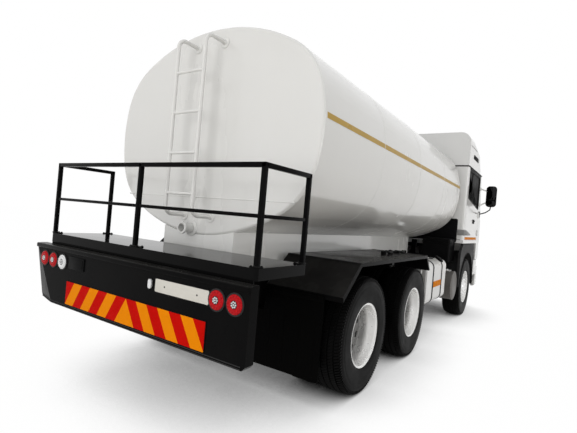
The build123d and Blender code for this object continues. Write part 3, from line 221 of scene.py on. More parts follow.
RED_SHEET = surface(
    "red_reflective", (0.53, 0.0035, 0.0015), (0.42, 0.55), (0.45, 0.003, 0.0015), 9, 0.6,
    grain=700, bump=0.1, specular=0.025,
)
ORANGE_SHEET = surface(
    "orange_reflective", (0.8, 0.24, 0.0015), (0.42, 0.55), (0.73, 0.212, 0.0015), 9, 0.6,
    grain=700, bump=0.1, specular=0.025,
)
PLATE = surface(
    "plate_white", (0.62, 0.6, 0.55), (0.28, 0.4), (0.54, 0.52, 0.47), 12, 0.6,
    grain=800, bump=0.08,
)
LENS_RED = surface(
    "red_lens", (0.5, 0.007, 0.011), (0.16, 0.26), (0.3, 0.004, 0.007), 60, 0.8,
    grain=500, bump=0.1, coat=0.08, specular=0.05,
)
LENS_CLEAR = surface(
    "clear_lens", (0.72, 0.73, 0.74), (0.06, 0.14), (0.58, 0.59, 0.6), 30, 0.5,
    grain=400, bump=0.06, coat=1.0,
)
# darker copy of the rim paint for the wheel discs: painted shade for the deep-set disc
SHADED_DISC = surface(
    "rim_disc_painted_shade", (0.24, 0.24, 0.24), (0.32, 0.48), (0.16, 0.155, 0.145), 8, 0.6,
    grain=160, bump=0.06, metal=0.4,
)
MIRROR = surface(
    "mirror_silver", (0.018, 0.018, 0.019), (0.02, 0.05), (0.026, 0.026, 0.027), 6, 0.4,
    grain=40, bump=0, metal=1.0,
)
SEAL = surface(
    "rubber_seal", (0.005, 0.005, 0.005), (0.45, 0.6), (0.009, 0.009, 0.009), 6, 0.5,
    grain=300, bump=0.08, specular=0.06,
)
TRIM = surface(
    "cab_trim", (0.095, 0.094, 0.092), (0.55, 0.7), (0.12, 0.118, 0.114), 4, 0.5,
    grain=420, bump=0.2,
)
GLASS = surface(
    "tinted_glass", (0.5, 0.53, 0.54), (0.01, 0.035), (0.46, 0.4876, 0.4968), 3, 0.5,
    grain=20, bump=0,
)
GLASS.node_tree.nodes["Principled BSDF"].inputs["Transmission Weight"].default_value = 0.85
GLASS.node_tree.nodes["Principled BSDF"].inputs["IOR"].default_value = 1.45


def cloth(name, one, two):
    mat = surface(name, one, (0.75, 0.92), two, 5, 0.5, grain=260, bump=0.2)
    tree = mat.node_tree
    tree.nodes["Principled BSDF"].inputs["Sheen Weight"].default_value = 0.35
    coord = next(n for n in tree.nodes if n.type == "TEX_COORD").outputs["Object"]
    lift = next(n for n in tree.nodes if n.type == "BUMP")
    waves = []
    for direction in ("X", "Z"):
        wave = add_node(tree, "TexWave", {"Scale": 120.0, "Distortion": 0.6}, {"Vector": coord})
        wave.bands_direction = direction
        waves.append(wave.outputs["Fac"])
    tree.links.new(calc(tree, "MULTIPLY", *waves), lift.inputs["Height"])
    return mat


SEAT = cloth("seat_weave", (0.045, 0.047, 0.055), (0.075, 0.076, 0.082))


# Mesh shapes

PLANES = {"x": lambda a, b, t: (t, a, b), "y": lambda a, b, t: (a, t, b), "z": lambda a, b, t: (a, b, t)}


class Shape:
    def __init__(self):
        self.bm = bmesh.new()

    def bevel(self, edges, offset, segments=2):
        bmesh.ops.bevel(self.bm, geom=edges, offset=offset, segments=segments, profile=0.5, affect="EDGES")

    def strip(self, one, two):
        nexts = zip(one, one[1:] + one[:1], two[1:] + two[:1], two)
        return [self.bm.faces.new(quad) for quad in nexts]

    def ring(self, at, side, up, radius, steps):
        spokes = [side * math.cos(turn) + up * math.sin(turn) for turn in turns(steps)]
        return [self.bm.verts.new(at + spoke * radius) for spoke in spokes]

    def box(self, low, high, bevel=0.0, turn=None, segments=2):
        low, high = Vector(low), Vector(high)
        place = Matrix.Translation((low + high) / 2) @ Matrix.Diagonal((*(high - low), 1.0))
        if turn:
            place = turn @ place
        made = bmesh.ops.create_cube(self.bm, size=1.0, matrix=place)["verts"]
        if bevel:
            self.bevel(list({e for v in made for e in v.link_edges}), bevel, segments)

    def lathe(self, profile, at, axis, steps=48):
        axis = Vector(axis).normalized()
        side = axis.orthogonal().normalized()
        up = axis.cross(side)
        rings = []
        for along, radius in profile:
            here = Vector(at) + axis * along
            pole = radius < 1e-6
            rings.append([self.bm.verts.new(here)] if pole else self.ring(here, side, up, radius, steps))
        for one, two in zip(rings, rings[1:]):
            for k in range(steps):
                nxt = (k + 1) % steps
                quad = [one[k % len(one)], one[nxt % len(one)], two[nxt % len(two)], two[k % len(two)]]
                face = list(dict.fromkeys(quad))
                if len(face) > 2:
                    self.bm.faces.new(face)

    def rod(self, start, end, radius, steps=12, dome=0.15):
        start, end = Vector(start), Vector(end)
        long = (end - start).length
        cap = radius * dome
        half = [(0, 0), (0, radius - cap), (cap, radius)]
        self.lathe(half + [(long - a, r) for a, r in reversed(half)], start, end - start, steps)

    def hexagon(self, at, axis, across, high):
        r = across / math.sqrt(3)
        self.lathe([(0, 0), (0, r), (0.85 * high, r), (high, 0.86 * r), (high, 0)], at, axis, 6)

    def pipe(self, points, radius, steps=10):
        points = [Vector(p) for p in points]
        rings = []
        side = None
        for k, here in enumerate(points):
            ahead = (points[min(k + 1, len(points) - 1)] - points[max(k - 1, 0)]).normalized()
            side = (ahead.orthogonal() if side is None else side - ahead * side.dot(ahead)).normalized()
            rings.append(self.ring(here, side, ahead.cross(side), radius, steps))
        for one, two in zip(rings, rings[1:]):
            self.strip(one, two)
        self.bm.faces.new(rings[0])
        self.bm.faces.new(rings[-1])

    def prism(self, outline, axis, low, high, bevel=0.0):
        one, two = ([self.bm.verts.new(PLANES[axis](a, b, t)) for a, b in outline] for t in (low, high))
        faces = [self.bm.faces.new(one), self.bm.faces.new(two)] + self.strip(one, two)
        if bevel:
            bmesh.ops.recalc_face_normals(self.bm, faces=faces)
            self.bevel(list({e for f in faces for e in f.edges}), bevel)

    def grid(self, rows):
        lines = [[self.bm.verts.new(p) for p in row] for row in rows]
        for one, two in zip(lines, lines[1:]):
            for k in range(len(one) - 1):
                self.bm.faces.new([one[k], one[k + 1], two[k + 1], two[k]])

    def add(self, mesh, place):
        before = set(self.bm.verts)
        self.bm.from_mesh(mesh)
        bmesh.ops.transform(self.bm, matrix=place, verts=[v for v in self.bm.verts if v not in before])

    def mesh(self, name, sharp=35.0):
        bmesh.ops.recalc_face_normals(self.bm, faces=self.bm.faces)
        made = bpy.data.meshes.new(name)
        self.bm.to_mesh(made)
        self.bm.free()
        for face in made.polygons:
            face.use_smooth = True
        made.set_sharp_from_angle(angle=math.radians(sharp))
        return made

    def done(self, name, mat, body, slot, sharp=35.0, instead=()):
        made = self.mesh(name, sharp)
        made.materials.append(mat)
        obj = bpy.data.objects.new(name, made)
        SCENE.collection.objects.link(obj)
        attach(obj, body)
        if instead:
            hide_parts(*instead)
        return obj


# CAD nodes that keep their shape

KEPT = {
    WHITE: ("tank_shell", "tank_saddle", "manway_collar", "manway_lid", "tank_outlet", "rear_ladder"),
    CAB_WHITE: ("cab_floor", "cab_back", "cab_front", "cab_roof", "door_left", "door_right", "front_bumper"),
    BLACK: ("railing_posts", "railing_bars", "tail_panel", "rear_mudguards"),
    DECK: ("rear_deck",),
    CHASSIS: (
        "frame_rails", "frame_crossmembers", "rear_axles", "rear_springs", "front_axle", "front_springs",
        "knuckle_left", "knuckle_right", "track_rod", "driveline", "air_tanks", "battery_box",
    ),
    FLAP: ("mudflaps",),
    ALLOY: ("fuel_tank",),
    SHADED_DRUM_STEEL: ("exhaust_drum",),
    IRON: ("engine",),
    PLASTIC: ("air_cleaner", "mirrors"),
    GREY: ("front_wings",),
    TRIM: ("dashboard",),
    GLASS: ("windscreen", "door_glass_left", "door_glass_right"),
    LENS_RED: ("tail_lamps",),
    LENS_CLEAR: ("headlamps",),
    SEAT: ("seats",),
    RUBBER: tuple(n for n in NODES if "_tyre" in n),
    RIM: tuple(n for n in NODES if "_rim" in n),
}
for mat, names in KEPT.items():
    for name in names:
        mesh = NODES[name].data
        mesh.materials.clear()
        mesh.materials.append(mat)


# Outlines in a plane


def rounded(points, radius, steps=5):
    made = []
    for k, spot in enumerate(points):
        here = Vector(spot)
        back = (Vector(points[k - 1]) - here).normalized()
        ahead = (Vector(points[(k + 1) % len(points)]) - here).normalized()
        half = math.acos(max(-1.0, min(1.0, back.dot(ahead)))) / 2
        centre = here + (back + ahead).normalized() * radius / math.sin(half)
        start = here + back * radius / math.tan(half) - centre
        end = here + ahead * radius / math.tan(half) - centre
        sweep = math.atan2(start.x * end.y - start.y * end.x, start.dot(end))
        for j in range(steps + 1):
            turn = sweep * j / steps
            x = start.x * math.cos(turn) - start.y * math.sin(turn)
            y = start.x * math.sin(turn) + start.y * math.cos(turn)
            made.append((centre.x + x, centre.y + y))
    return made


def grown(points, reach):
    area = sum(a[0] * b[1] - b[0] * a[1] for a, b in zip(points, points[1:] + points[:1]))
    hand = 1.0 if area > 0 else -1.0
    made = []
    for k, spot in enumerate(points):
        here = Vector(spot)
        ahead = Vector(points[(k + 1) % len(points)]) - here
        back = here - Vector(points[k - 1])
        one = Vector((back.y, -back.x)).normalized()
        two = Vector((ahead.y, -ahead.x)).normalized()
        push = (one + two).normalized() / max(0.3, math.sqrt((1 + one.dot(two)) / 2))
        made.append(tuple(here + push * reach * hand))
    return made


def oblong(a0, a1, b0, b1, radius, steps=5):
    return rounded([(a0, b0), (a1, b0), (a1, b1), (a0, b1)], radius, steps)


def collar(shape, axis, loops):
    # closed strip through loops of (outline, level)
    shape.grid([[PLANES[axis](a, b, level) for a, b in outline + outline[:1]] for outline, level in loops])


def band(shape, axis, outline, at, steps):
    # closed strip through steps of (level from at, reach of the outline)
    collar(shape, axis, [(outline(reach), at + level) for level, reach in steps])


def tank_outline(proud=0.0, steps=12):
    crown = Vector((0.0, TANK_HALF_H - CROWN_R))
    flank = Vector((TANK_HALF_W - FLANK_R, 0.0))
    across = flank - crown
    to_crown, to_flank = CROWN_R - CORNER_R, FLANK_R - CORNER_R
    along = (to_crown**2 - to_flank**2 + across.length**2) / (2 * across.length)
    unit = across.normalized()
    corner = crown + unit * along + Vector((unit.y, -unit.x)) * math.sqrt(to_crown**2 - along**2)
    one = math.atan2(*(corner - crown).yx)
    two = math.atan2(*(corner - flank).yx)
    arcs = ((crown, CROWN_R, math.pi / 2, one), (corner, CORNER_R, one, two), (flank, FLANK_R, two, 0.0))
    quarter = []
    for centre, radius, start, end in arcs:
        for k in range(steps):
            turn = start + (end - start) * k / steps
            reach = radius + proud
            quarter.append((centre.x + reach * math.cos(turn), centre.y + reach * math.sin(turn)))
    quarter.append((TANK_HALF_W + proud, 0.0))
    right = quarter + [(y, -z) for y, z in reversed(quarter[:-1])]
    left = [(-y, z) for y, z in reversed(right[1:-1])]
    return [(y, z + TANK_Z) for y, z in right + left]


# Tank: shell welds, end fittings, gold stripes, manway fittings

END_X = TANK_X0 + 0.001
OUTLET = (0.07, 1.362)
STILE_YS = (-0.146, 0.174)
STRIPE_LOW, STRIPE_WIDE, STRIPE_PROUD = 2.266, 0.046, 0.0012
LID_X = TANK_X0 + 2.3
LID_TOP = 3.253

welds = Shape()
for x in (TANK_X0 + 1.245, TANK_X0 + 2.49, TANK_X0 + 3.735):
    band(welds, "x", tank_outline, x, ((-0.008, -0.001), (-0.004, 0.0018), (0.004, 0.0018), (0.008, -0.001)))
band(welds, "x", tank_outline, TANK_X0, ((0.02, -0.001), (0.022, 0.003), (0.05, 0.003), (0.052, -0.001)))
welds.done("tank_weld_seams", WHITE, "chassis", "white_paint")

fittings = Shape()
fittings.rod((TANK_X0 + 0.002, -0.985, 1.635), (TANK_X0 + 0.002, 0.985, 1.635), 0.006, 8)
STILE_FOOT = [(0, 0), (0, 0.046), (0.005, 0.048), (0.009, 0.044), (0.009, 0.024), (0.02, 0.019), (0.02, 0)]
for y in STILE_YS:
    for z in (1.472, 2.96):
        fittings.lathe(STILE_FOOT, (END_X, y, z), AFT, 28)
fittings.lathe([(0, 0), (0, 0.07), (0.008, 0.072), (0.012, 0.066), (0.012, 0.043)], (END_X, *OUTLET), AFT, 32)
OUTLET_LIP = [(0.098, 0.0425), (0.098, 0.052), (0.102, 0.054), (0.117, 0.054), (0.12, 0.05), (0.12, 0.0425)]
fittings.lathe(OUTLET_LIP, (TANK_X0, *OUTLET), AFT, 32)
RUNG_WELD = [(-0.006, 0), (-0.006, 0.0185), (0, 0.0195), (0.006, 0.0185), (0.006, 0)]
for y in STILE_YS:
    for z in (1.647, 1.985, 2.323, 2.661):
        fittings.lathe(RUNG_WELD, (TANK_X0 - 0.22, y, z), UP, 16)
fittings.done("tank_end_fittings", WHITE, "chassis", "white_paint")

stripe = Shape()
for side in SIDES.values():
    rows = []
    for k in range(5):
        z = STRIPE_LOW + STRIPE_WIDE * k / 4
        y = side * (TANK_HALF_W - FLANK_R + math.sqrt((FLANK_R + STRIPE_PROUD) ** 2 - (z - TANK_Z) ** 2))
        rows.append([(TANK_X0 + 0.024 + (TANK_X1 - 0.16 - TANK_X0) * j / 24, y, z) for j in range(25)])
    stripe.grid(rows)
stripe.done("gold_side_stripes", GOLD, "chassis", "white_paint")

manway = Shape()
for turn in turns(10, 0.5):
    x, y = LID_X + 0.243 * math.cos(turn), 0.243 * math.sin(turn)
    manway.hexagon((x, y, LID_TOP), UP, 0.026, 0.014)
    manway.rod((x, y, LID_TOP + 0.009), (x, y, LID_TOP + 0.023), 0.007, 8)
manway.lathe([(0, 0.19), (0.01, 0.185), (0.018, 0.13), (0.021, 0)], (LID_X, 0, LID_TOP), UP)
VENT = [(0, 0.05), (0.012, 0.05), (0.014, 0.044), (0.02, 0.04), (0.022, 0)]
manway.lathe(VENT, (LID_X - 0.02, 0.1, LID_TOP + 0.009), UP, 24)
GRIP = ((-0.07, 3.255), (-0.07, 3.283), (-0.06, 3.29), (0.06, 3.29), (0.07, 3.283), (0.07, 3.255))
manway.pipe([(LID_X - 0.2, y, z) for y, z in GRIP], 0.007)
manway.done("manway_lid_fittings", CHROME, "manway_lid", "white_paint")

ribs = Shape()
COLLAR_AT = (LID_X, 0, 3.23)
ribs.lathe([(-0.115, 0.262), (-0.112, 0.285), (-0.104, 0.287), (-0.1, 0.2605)], COLLAR_AT, UP, 64)
ribs.lathe([(-0.022, 0.2605), (-0.021, 0.272), (-0.003, 0.272), (-0.002, 0.2605)], COLLAR_AT, UP, 64)
for turn in turns(8, 0.5):
    out = Matrix.Translation((LID_X, 0, 0)) @ Matrix.Rotation(turn, 4, "Z")
    ribs.box((0.258, -0.004, 3.125), (0.282, 0.004, 3.208), 0.0, out)
ribs.done("manway_collar_ribs", WHITE, "chassis", "white_paint")

# Tail panel: folded lips, chevron board, blank plate, plate lamp, junction box


def fold_x(y, z):
    # rear face of the tail panel, its lower left corner folded forward
    crease = 1.21 - 0.3 * (1.102 - z) / 0.462
    return TAIL + 0.24 * max(0.0, y - crease)


def clipped(points, level, keep_below):
    made = []
    for one, two in zip(points, points[1:] + points[:1]):
        inside = [(p[0] <= level) == keep_below or p[0] == level for p in (one, two)]
        if inside[0]:
            made.append(one)
        if inside[0] != inside[1]:
            t = (level - one[0]) / (two[0] - one[0])
            made.append((level, one[1] + t * (two[1] - one[1])))
    return made


lips = Shape()
lips.box((TAIL - 0.014, -1.209, 1.082), (TAIL + 0.05, 1.209, 1.1195), 0.01, segments=3)
lips.done("tail_panel_lips", BLACK, "chassis", "black_paint")
# ribbed rubber edge strip along the lower lips, coloured grey instead of black: painted highlight lines
beading = Shape()
for z, reach in ((0.6465, 0.006), (0.66, 0.004)):
    spots = (-1.178, -1.05, -0.92, -0.9, 0.9, 0.92, 1.05, 1.178)
    beading.pipe([(fold_x(y, z) - reach + 0.004, y, z) for y in spots], 0.0036)
beading.done("tail_panel_beading_painted_highlight", GREY, "chassis", "grey_plastic")

BOARD_Y = (-0.888, 0.683)
BOARD_Z = (0.672, 0.855)
PEAK_Y = -0.105
PITCH = 0.1125
stripes = (Shape(), Shape())
for side in SIDES.values():
    lean = side * PITCH
    for k in range(-1, 8):
        a, b = PEAK_Y + side * PITCH * k, PEAK_Y + side * PITCH * (k + 1)
        outline = [(a, BOARD_Z[1]), (b, BOARD_Z[1]), (b + lean, BOARD_Z[0]), (a + lean, BOARD_Z[0])]
        outline = clipped(outline, PEAK_Y, side < 0)
        outline = clipped(outline, BOARD_Y[side > 0], side > 0)
        ys = [p[0] for p in outline]
        if len(ys) > 2 and max(ys) - min(ys) > 0.004:
            stripes[(k + 1) % 2].prism(outline, "x", TAIL - 0.0055, TAIL - 0.002)
stripes[1].done("chevron_red", RED_SHEET, "chassis", "lamp_red")
stripes[0].done("chevron_orange", ORANGE_SHEET, "chassis", "lamp_red")

backing = Shape()
EDGE = 0.006
edged = oblong(BOARD_Y[0] - EDGE, BOARD_Y[1] + EDGE, BOARD_Z[0] - EDGE, BOARD_Z[1] + EDGE, EDGE)
backing.prism(edged, "x", TAIL - 0.003, TAIL + 0.001)
backing.box((TAIL - 0.008, 0.455, 0.96), (TAIL + 0.001, 0.677, 1.06), 0.004)
backing.box((TAIL - 0.011, 0.472, 0.975), (TAIL - 0.006, 0.66, 1.045), 0.003)
backing.prism(oblong(-0.908, -0.396, 0.95, 1.052, 0.008), "x", TAIL - 0.004, TAIL + 0.001, 0.001)
backing.done("tail_panel_backings", PLASTIC, "chassis", "black_plastic")
plate = Shape()
plate.prism(oblong(-0.898, -0.406, 0.958, 1.044, 0.01), "x", TAIL - 0.0065, TAIL - 0.003, 0.0008)
plate.done("number_plate_blank", PLATE, "chassis", "white_paint")
screws = Shape()
for y in (-0.5, -0.8):
    screws.lathe([(0, 0), (0, 0.006), (0.002, 0.005), (0.003, 0)], (TAIL - 0.0065, y, 1.001), AFT, 12)
screws.done("number_plate_screws", SEAL, "chassis", "black_plastic")
plate_lamp = Shape()
plate_lamp.prism(oblong(-0.372, -0.338, 0.968, 1.034, 0.0165, 8), "x", TAIL - 0.016, TAIL - 0.001, 0.004)
plate_lamp.done("plate_lamp_lens", LENS_CLEAR, "chassis", "lamp_clear")

# Round tail lamps: bezel, lens, a ring of diodes and a white middle

LAMP_Z = 1.0
WHITE_LAMP = 0.777
LAMP_YS = (1.06, 0.92, WHITE_LAMP, -0.96, -1.103)
DIODE_R, SMALL_DIODE_R = 0.0455, 0.0155
BEZEL = [
    (-0.001, 0), (-0.001, 0.069), (0.005, 0.069), (0.008, 0.066), (0.008, 0.061), (0.005, 0.059), (0.005, 0),
]
LENS = [
    (0.004, 0.0595), (0.009, 0.058), (0.0125, 0.052), (0.0145, 0.04), (0.015, 0.0255), (0.013, 0.0245),
    (0.013, 0),
]
MIDDLE = [(0.0125, 0), (0.0125, 0.0245), (0.015, 0.0235), (0.0155, 0.0205), (0.0155, 0)]
DIODE = [(0, 0.007), (0.003, 0.0062), (0.0052, 0.0036), (0.006, 0)]
SMALL_DIODE = [(0, 0.006), (0.003, 0.005), (0.0052, 0.0028), (0.006, 0)]
bezels, red_lens, white_lens, red_dots, white_dots = (Shape() for _ in range(5))
for y in LAMP_YS:
    at = (TAIL, y, LAMP_Z)
    lens, dots = (white_lens, white_dots) if y == WHITE_LAMP else (red_lens, red_dots)
    bezels.lathe(BEZEL, at, AFT)
    lens.lathe(LENS, at, AFT)
    for turn in turns(14):
        spot = (TAIL - 0.012, y + DIODE_R * math.cos(turn), LAMP_Z + DIODE_R * math.sin(turn))
        dots.lathe(DIODE, spot, AFT, 10)
    bezels.lathe(MIDDLE, at, AFT, 28)
    for turn in turns(7, 0.5):
        spot = (TAIL - 0.015, y + SMALL_DIODE_R * math.cos(turn), LAMP_Z + SMALL_DIODE_R * math.sin(turn))
        white_dots.lathe(SMALL_DIODE, spot, AFT, 10)
    white_dots.lathe([(0.015, 0.0058), (0.0185, 0.0046), (0.0205, 0)], at, AFT, 10)
bezels.done("tail_lamp_bezels", GREY, "chassis", "grey_plastic", instead=("tail_lamps",))
red_lens.done("tail_lamp_red_lenses", LENS_RED, "chassis", "lamp_red")
white_lens.done("tail_lamp_white_lens", LENS_CLEAR, "chassis", "lamp_clear")
red_dots.done("tail_lamp_red_diodes", LENS_RED, "chassis", "lamp_red")
white_dots.done("tail_lamp_white_diodes", LENS_CLEAR, "chassis", "lamp_clear")

# Railing: square tubes on bolted feet

REAR_X, FRONT_X, RAIL_Y = -3.729, -3.218, 1.15
POSTS = ((REAR_X, RAIL_Y), (REAR_X, 0.0), (REAR_X, -RAIL_Y), (FRONT_X, RAIL_Y), (FRONT_X, -RAIL_Y))
POST_HALF, BAR_HALF = 0.0155, 0.012
RAIL_TOP, MID_RAIL_Z = 1.837, 1.516
FOOT_HALF, FOOT_TOP = 0.045, 1.216

rails = Shape()
for x, y in POSTS:
    rails.box((x - POST_HALF, y - POST_HALF, 1.209), (x + POST_HALF, y + POST_HALF, RAIL_TOP - 0.002), 0.003)
TOP_RAIL = (RAIL_TOP - 2 * POST_HALF, RAIL_TOP, POST_HALF)
MID_RAIL = (MID_RAIL_Z - BAR_HALF, MID_RAIL_Z + BAR_HALF, BAR_HALF)
for low, high, half in (TOP_RAIL, MID_RAIL):
    rails.box((REAR_X - half, -RAIL_Y - POST_HALF, low), (REAR_X + half, RAIL_Y + POST_HALF, high), 0.003)
    for side in SIDES.values():
        y = side * RAIL_Y
        rails.box((REAR_X, y - half, low), (FRONT_X + POST_HALF, y + half, high), 0.003)
rails.done("railing_tubes", BLACK, "chassis", "black_paint", 40.0, ("railing_posts", "railing_bars"))
feet, bolts = Shape(), Shape()
for x, y in POSTS:
    x0, x1 = max(x - FOOT_HALF, -3.747), min(x + FOOT_HALF, -3.19)
    y0, y1 = max(y - FOOT_HALF, -1.168), min(y + FOOT_HALF, 1.168)
    feet.box((x0, y0, FOOT_TOP - 0.008), (x1, y1, FOOT_TOP), 0.002)
    fillet = ((0.021, 1.2155), (0.016, 1.222))
    collar(feet, "z", [(oblong(x - r, x + r, y - r, y + r, 0.004, 2), z) for r, z in fillet])
    for a in (x0 + 0.009, x1 - 0.009):
        for b in (y0 + 0.009, y1 - 0.009):
            bolts.hexagon((a, b, FOOT_TOP), UP, 0.012, 0.006)
feet.done("railing_feet", BLACK, "chassis", "black_paint")
bolts.done("railing_bolts", CHASSIS, "chassis", "chassis_black")

# Mudguards: edges, valances, flap clamps, air hoses under clips

GUARD_PATH = [(-2.711, 0.93), (-2.403, 1.19), (-0.308, 1.19), (-0.138, 1.0)]
edges, valance, clamps, hose = (Shape() for _ in range(4))
for side in SIDES.values():
    for y in (side * 1.2455, side * 0.5045):
        for one, two in zip(GUARD_PATH, GUARD_PATH[1:]):
            edges.rod((one[0], y, one[1] - 0.004), (two[0], y, two[1] - 0.004), 0.0045, 10, 0.5)
    for x, _ in GUARD_PATH[1:3]:
        edges.box((x - 0.02, side * 0.505, 1.188), (x + 0.02, side * 1.245, 1.193), 0.002)
    sheet = rounded([(-2.36, 1.161), (-2.3, 1.02), (-0.4, 1.02), (-0.32, 1.161)], 0.02, 3)
    valance.prism(sheet, "y", *span(side, 0.502, 0.507))
    for k in range(9):
        x = -2.22 + 0.22 * k
        valance.rod((x, side * 0.506, 1.03), (x, side * 0.506, 1.155), 0.004, 6)
    clamps.box((-2.733, side * 0.505, 0.865), (-2.722, side * 1.08, 0.915), 0.002)
    for k in range(5):
        clamps.hexagon((-2.733, side * (0.56 + 0.116 * k), 0.89), AFT, 0.016, 0.008)
    for k in range(5):
        y = side * (0.42 + 0.15 * k)
        clamps.box((-2.7245, y - 0.005, 0.25), (-2.7225, y + 0.005, 0.7), 0.0009)
    points = []
    for k in range(41):
        t = k / 40
        bend = 0.055 * math.sin(3.0 * math.pi * t) * math.sin(math.pi * t)
        lift = 0.022 * math.sin(5.0 * math.pi * t) ** 2 * (1 - t)
        points.append((-1.05 + 0.8 * t, side * (0.93 + bend), 1.206 + lift))
    hose.pipe(points, 0.016, 12)
    for t in (0.02, 0.34, 0.66, 0.97):
        x, y, z = points[round(40 * t)]
        hose.box((x - 0.016, y - 0.03, 1.188), (x + 0.016, y + 0.03, z + 0.019), 0.006)
# edge beads and cross strips in grey instead of the guard's black paint: painted highlight lines along the
# guard edges
edges.done("mudguard_edges_painted_highlight", GREY, "chassis", "grey_plastic")
valance.done("mudguard_valances", CHASSIS, "chassis", "chassis_black")
clamps.done("mudflap_clamps", FLAP, "chassis", "flap_rubber")
hose.done("guard_air_hoses", SEAL, "chassis", "black_plastic")

# Wheels: treaded tyres, rim barrels, pierced discs, hubs and nuts

SIDEWALL = [
    (-0.122, 0.2846), (-0.131, 0.2875), (-0.1365, 0.2945), (-0.14, 0.305), (-0.142, 0.314), (-0.1435, 0.328),
    (-0.145, 0.334), (-0.1465, 0.365), (-0.1482, 0.395), (-0.1495, 0.42), (-0.149, 0.44), (-0.1475, 0.4445),
    (-0.1485, 0.449), (-0.147, 0.464), (-0.1435, 0.48), (-0.1375, 0.494),
]
GROOVE_R = TYRE_R - 0.015
# blocks across the tread: low and high edge, shift in pitches, skew, gap
DRIVE_ROWS = (
    (-0.134, -0.092, 0.0, 0.3, 0.011),
    (-0.083, -0.036, 0.5, 0.5, 0.0025),
    (-0.027, 0.027, 0.0, 0.5, 0.0025),
    (0.036, 0.083, 0.5, 0.5, 0.0025),
    (0.092, 0.134, 0.0, 0.3, 0.011),
)
STEER_ROWS = (
    (-0.134, -0.09, 0.0, 0.2, 0.004),
    (-0.081, -0.033, 0.3, 0.2, 0.002),
    (-0.024, 0.024, 0.6, 0.2, 0.002),
    (0.033, 0.081, 0.3, 0.2, 0.002),
    (0.09, 0.134, 0.0, 0.2, 0.004),
)


def tyre_mesh(name, rows, count, lean):
    shape = Shape()
    profile = SIDEWALL + [(-0.13, 0.503), (-0.118, GROOVE_R)]
    shape.lathe(profile + [(-a, r) for a, r in reversed(profile)], (0, 0, 0), LEFT, 120)
    step = 2 * math.pi / count
    for k in range(count):
        for low, high, shift, skew, gap in rows:
            cut = gap / TYRE_R
            start = (k + shift) * step
            ends = (start + cut / 2, start + step - cut / 2)
            corners = []
            for depth, pull in ((GROOVE_R - 0.003, 0.0), (TYRE_R - 0.0016, 0.0), (TYRE_R, 0.0012)):
                ring = []
                for y, turn in ((low, ends[0]), (high, ends[0]), (high, ends[1]), (low, ends[1])):
                    slant = skew * lean * (y - low) / TYRE_R
                    inward = pull if y == low else -pull
                    around = pull / TYRE_R if turn == ends[0] else -pull / TYRE_R
                    at = turn + slant + around
                    drop = 0.012 * max(0.0, abs(y) - 0.085) / 0.05
                    ring.append(((depth - drop) * math.sin(at), y + inward, (depth - drop) * math.cos(at)))
                corners.append([shape.bm.verts.new(p) for p in ring])
            for one, two in zip(corners, corners[1:]):
                shape.strip(one, two)
            shape.bm.faces.new(corners[-1])
        for side in (-1, 1):
            place = Matrix.Rotation((k + 0.5) * step, 4, "Y")
            y = side * 0.1385
            shape.box((-0.006, y - 0.005, 0.484), (0.006, y + 0.005, 0.506), 0.0, place)
    return shape.mesh(name, 32.0)


DRIVE_TYRE = tyre_mesh("drive_tyre", DRIVE_ROWS, 120, 1.0)
STEER_TYRE = tyre_mesh("steer_tyre", STEER_ROWS, 110, 0.6)


def sector_disc(shape, place, cone, hole, inner, outer, share, thick):
    # disc of ten sectors, each with a rounded opening between the radii in hole
    count, total, power = 10, 32, 0.72
    step = 2 * math.pi / count
    middle, reach = (hole[0] + hole[1]) / 2, (hole[1] - hole[0]) / 2

    def verts(loop, drop):
        spots = [Vector((r * math.sin(t), cone(r) + drop, r * math.cos(t))) for t, r in loop]
        return [shape.bm.verts.new(place @ spot) for spot in spots]

    for depth in (0.0, -thick):
        for k in range(count):
            loop_in, loop_out = [], []
            for way in turns(total, 0.5):
                dx, dy = math.cos(way), math.sin(way)
                ux, uy = math.copysign(abs(dx) ** power, dx), math.copysign(abs(dy) ** power, dy)
                loop_in.append((k * step + share * step / 2 * ux, middle + reach * uy))
                big = max(abs(dx), abs(dy))
                bx, by = dx / big, dy / big
                away = outer - middle if by > 0 else middle - inner
                loop_out.append((k * step + step / 2 * bx, middle + away * by))
            rim, edge = verts(loop_in, depth), verts(loop_out, depth)
            shape.strip(rim, edge)
            if depth == 0.0:
                shape.strip(rim, verts(loop_in, -thick))
    bmesh.ops.remove_doubles(shape.bm, verts=shape.bm.verts, dist=1e-5)


def slope(points):
    def depth(r):
        for (r0, a0), (r1, a1) in zip(points, points[1:]):
            if r0 <= r <= r1:
                return a0 + (a1 - a0) * (r - r0) / (r1 - r0)
        return points[0][1] if r < points[0][0] else points[-1][1]

    return depth


# profiles of (distance along the axle, radius)
FLANGE = [
    (-0.137, 0.2835), (-0.139, 0.288), (-0.1365, 0.2905), (-0.1335, 0.288), (-0.132, 0.2825), (-0.13, 0.273),
]
WELL = [
    (-0.11, 0.268), (-0.07, 0.2625), (-0.04, 0.261), (-0.03, 0.2575), (0.05, 0.2575), (0.062, 0.262),
    (0.11, 0.268),
]
BARREL = FLANGE + WELL + [(-a, r) for a, r in reversed(FLANGE)] + FLANGE[:1]
DISH = [
    (0.126, 0.1925), (0.112, 0.186), (0.032, 0.163), (0.022, 0.155), (0.02, 0.108), (0.009, 0.108),
    (0.009, 0.158), (0.019, 0.172), (0.101, 0.1955), (0.115, 0.1925), (0.126, 0.1925),
]
HUB = [
    (-0.215, 0.196), (-0.215, 0.06), (-0.11, 0.06), (-0.11, 0.15), (0.008, 0.15), (0.008, 0.112),
    (0.085, 0.108), (0.092, 0.104), (0.092, 0.092), (0.104, 0.09), (0.11, 0.086), (0.114, 0.074), (0.114, 0),
]
DRUM_BACK = [
    (-0.06, 0.112), (-0.06, 0.2), (-0.085, 0.2), (-0.085, 0.186), (-0.05, 0.18), (-0.046, 0.112),
    (0.078, 0.112),
]
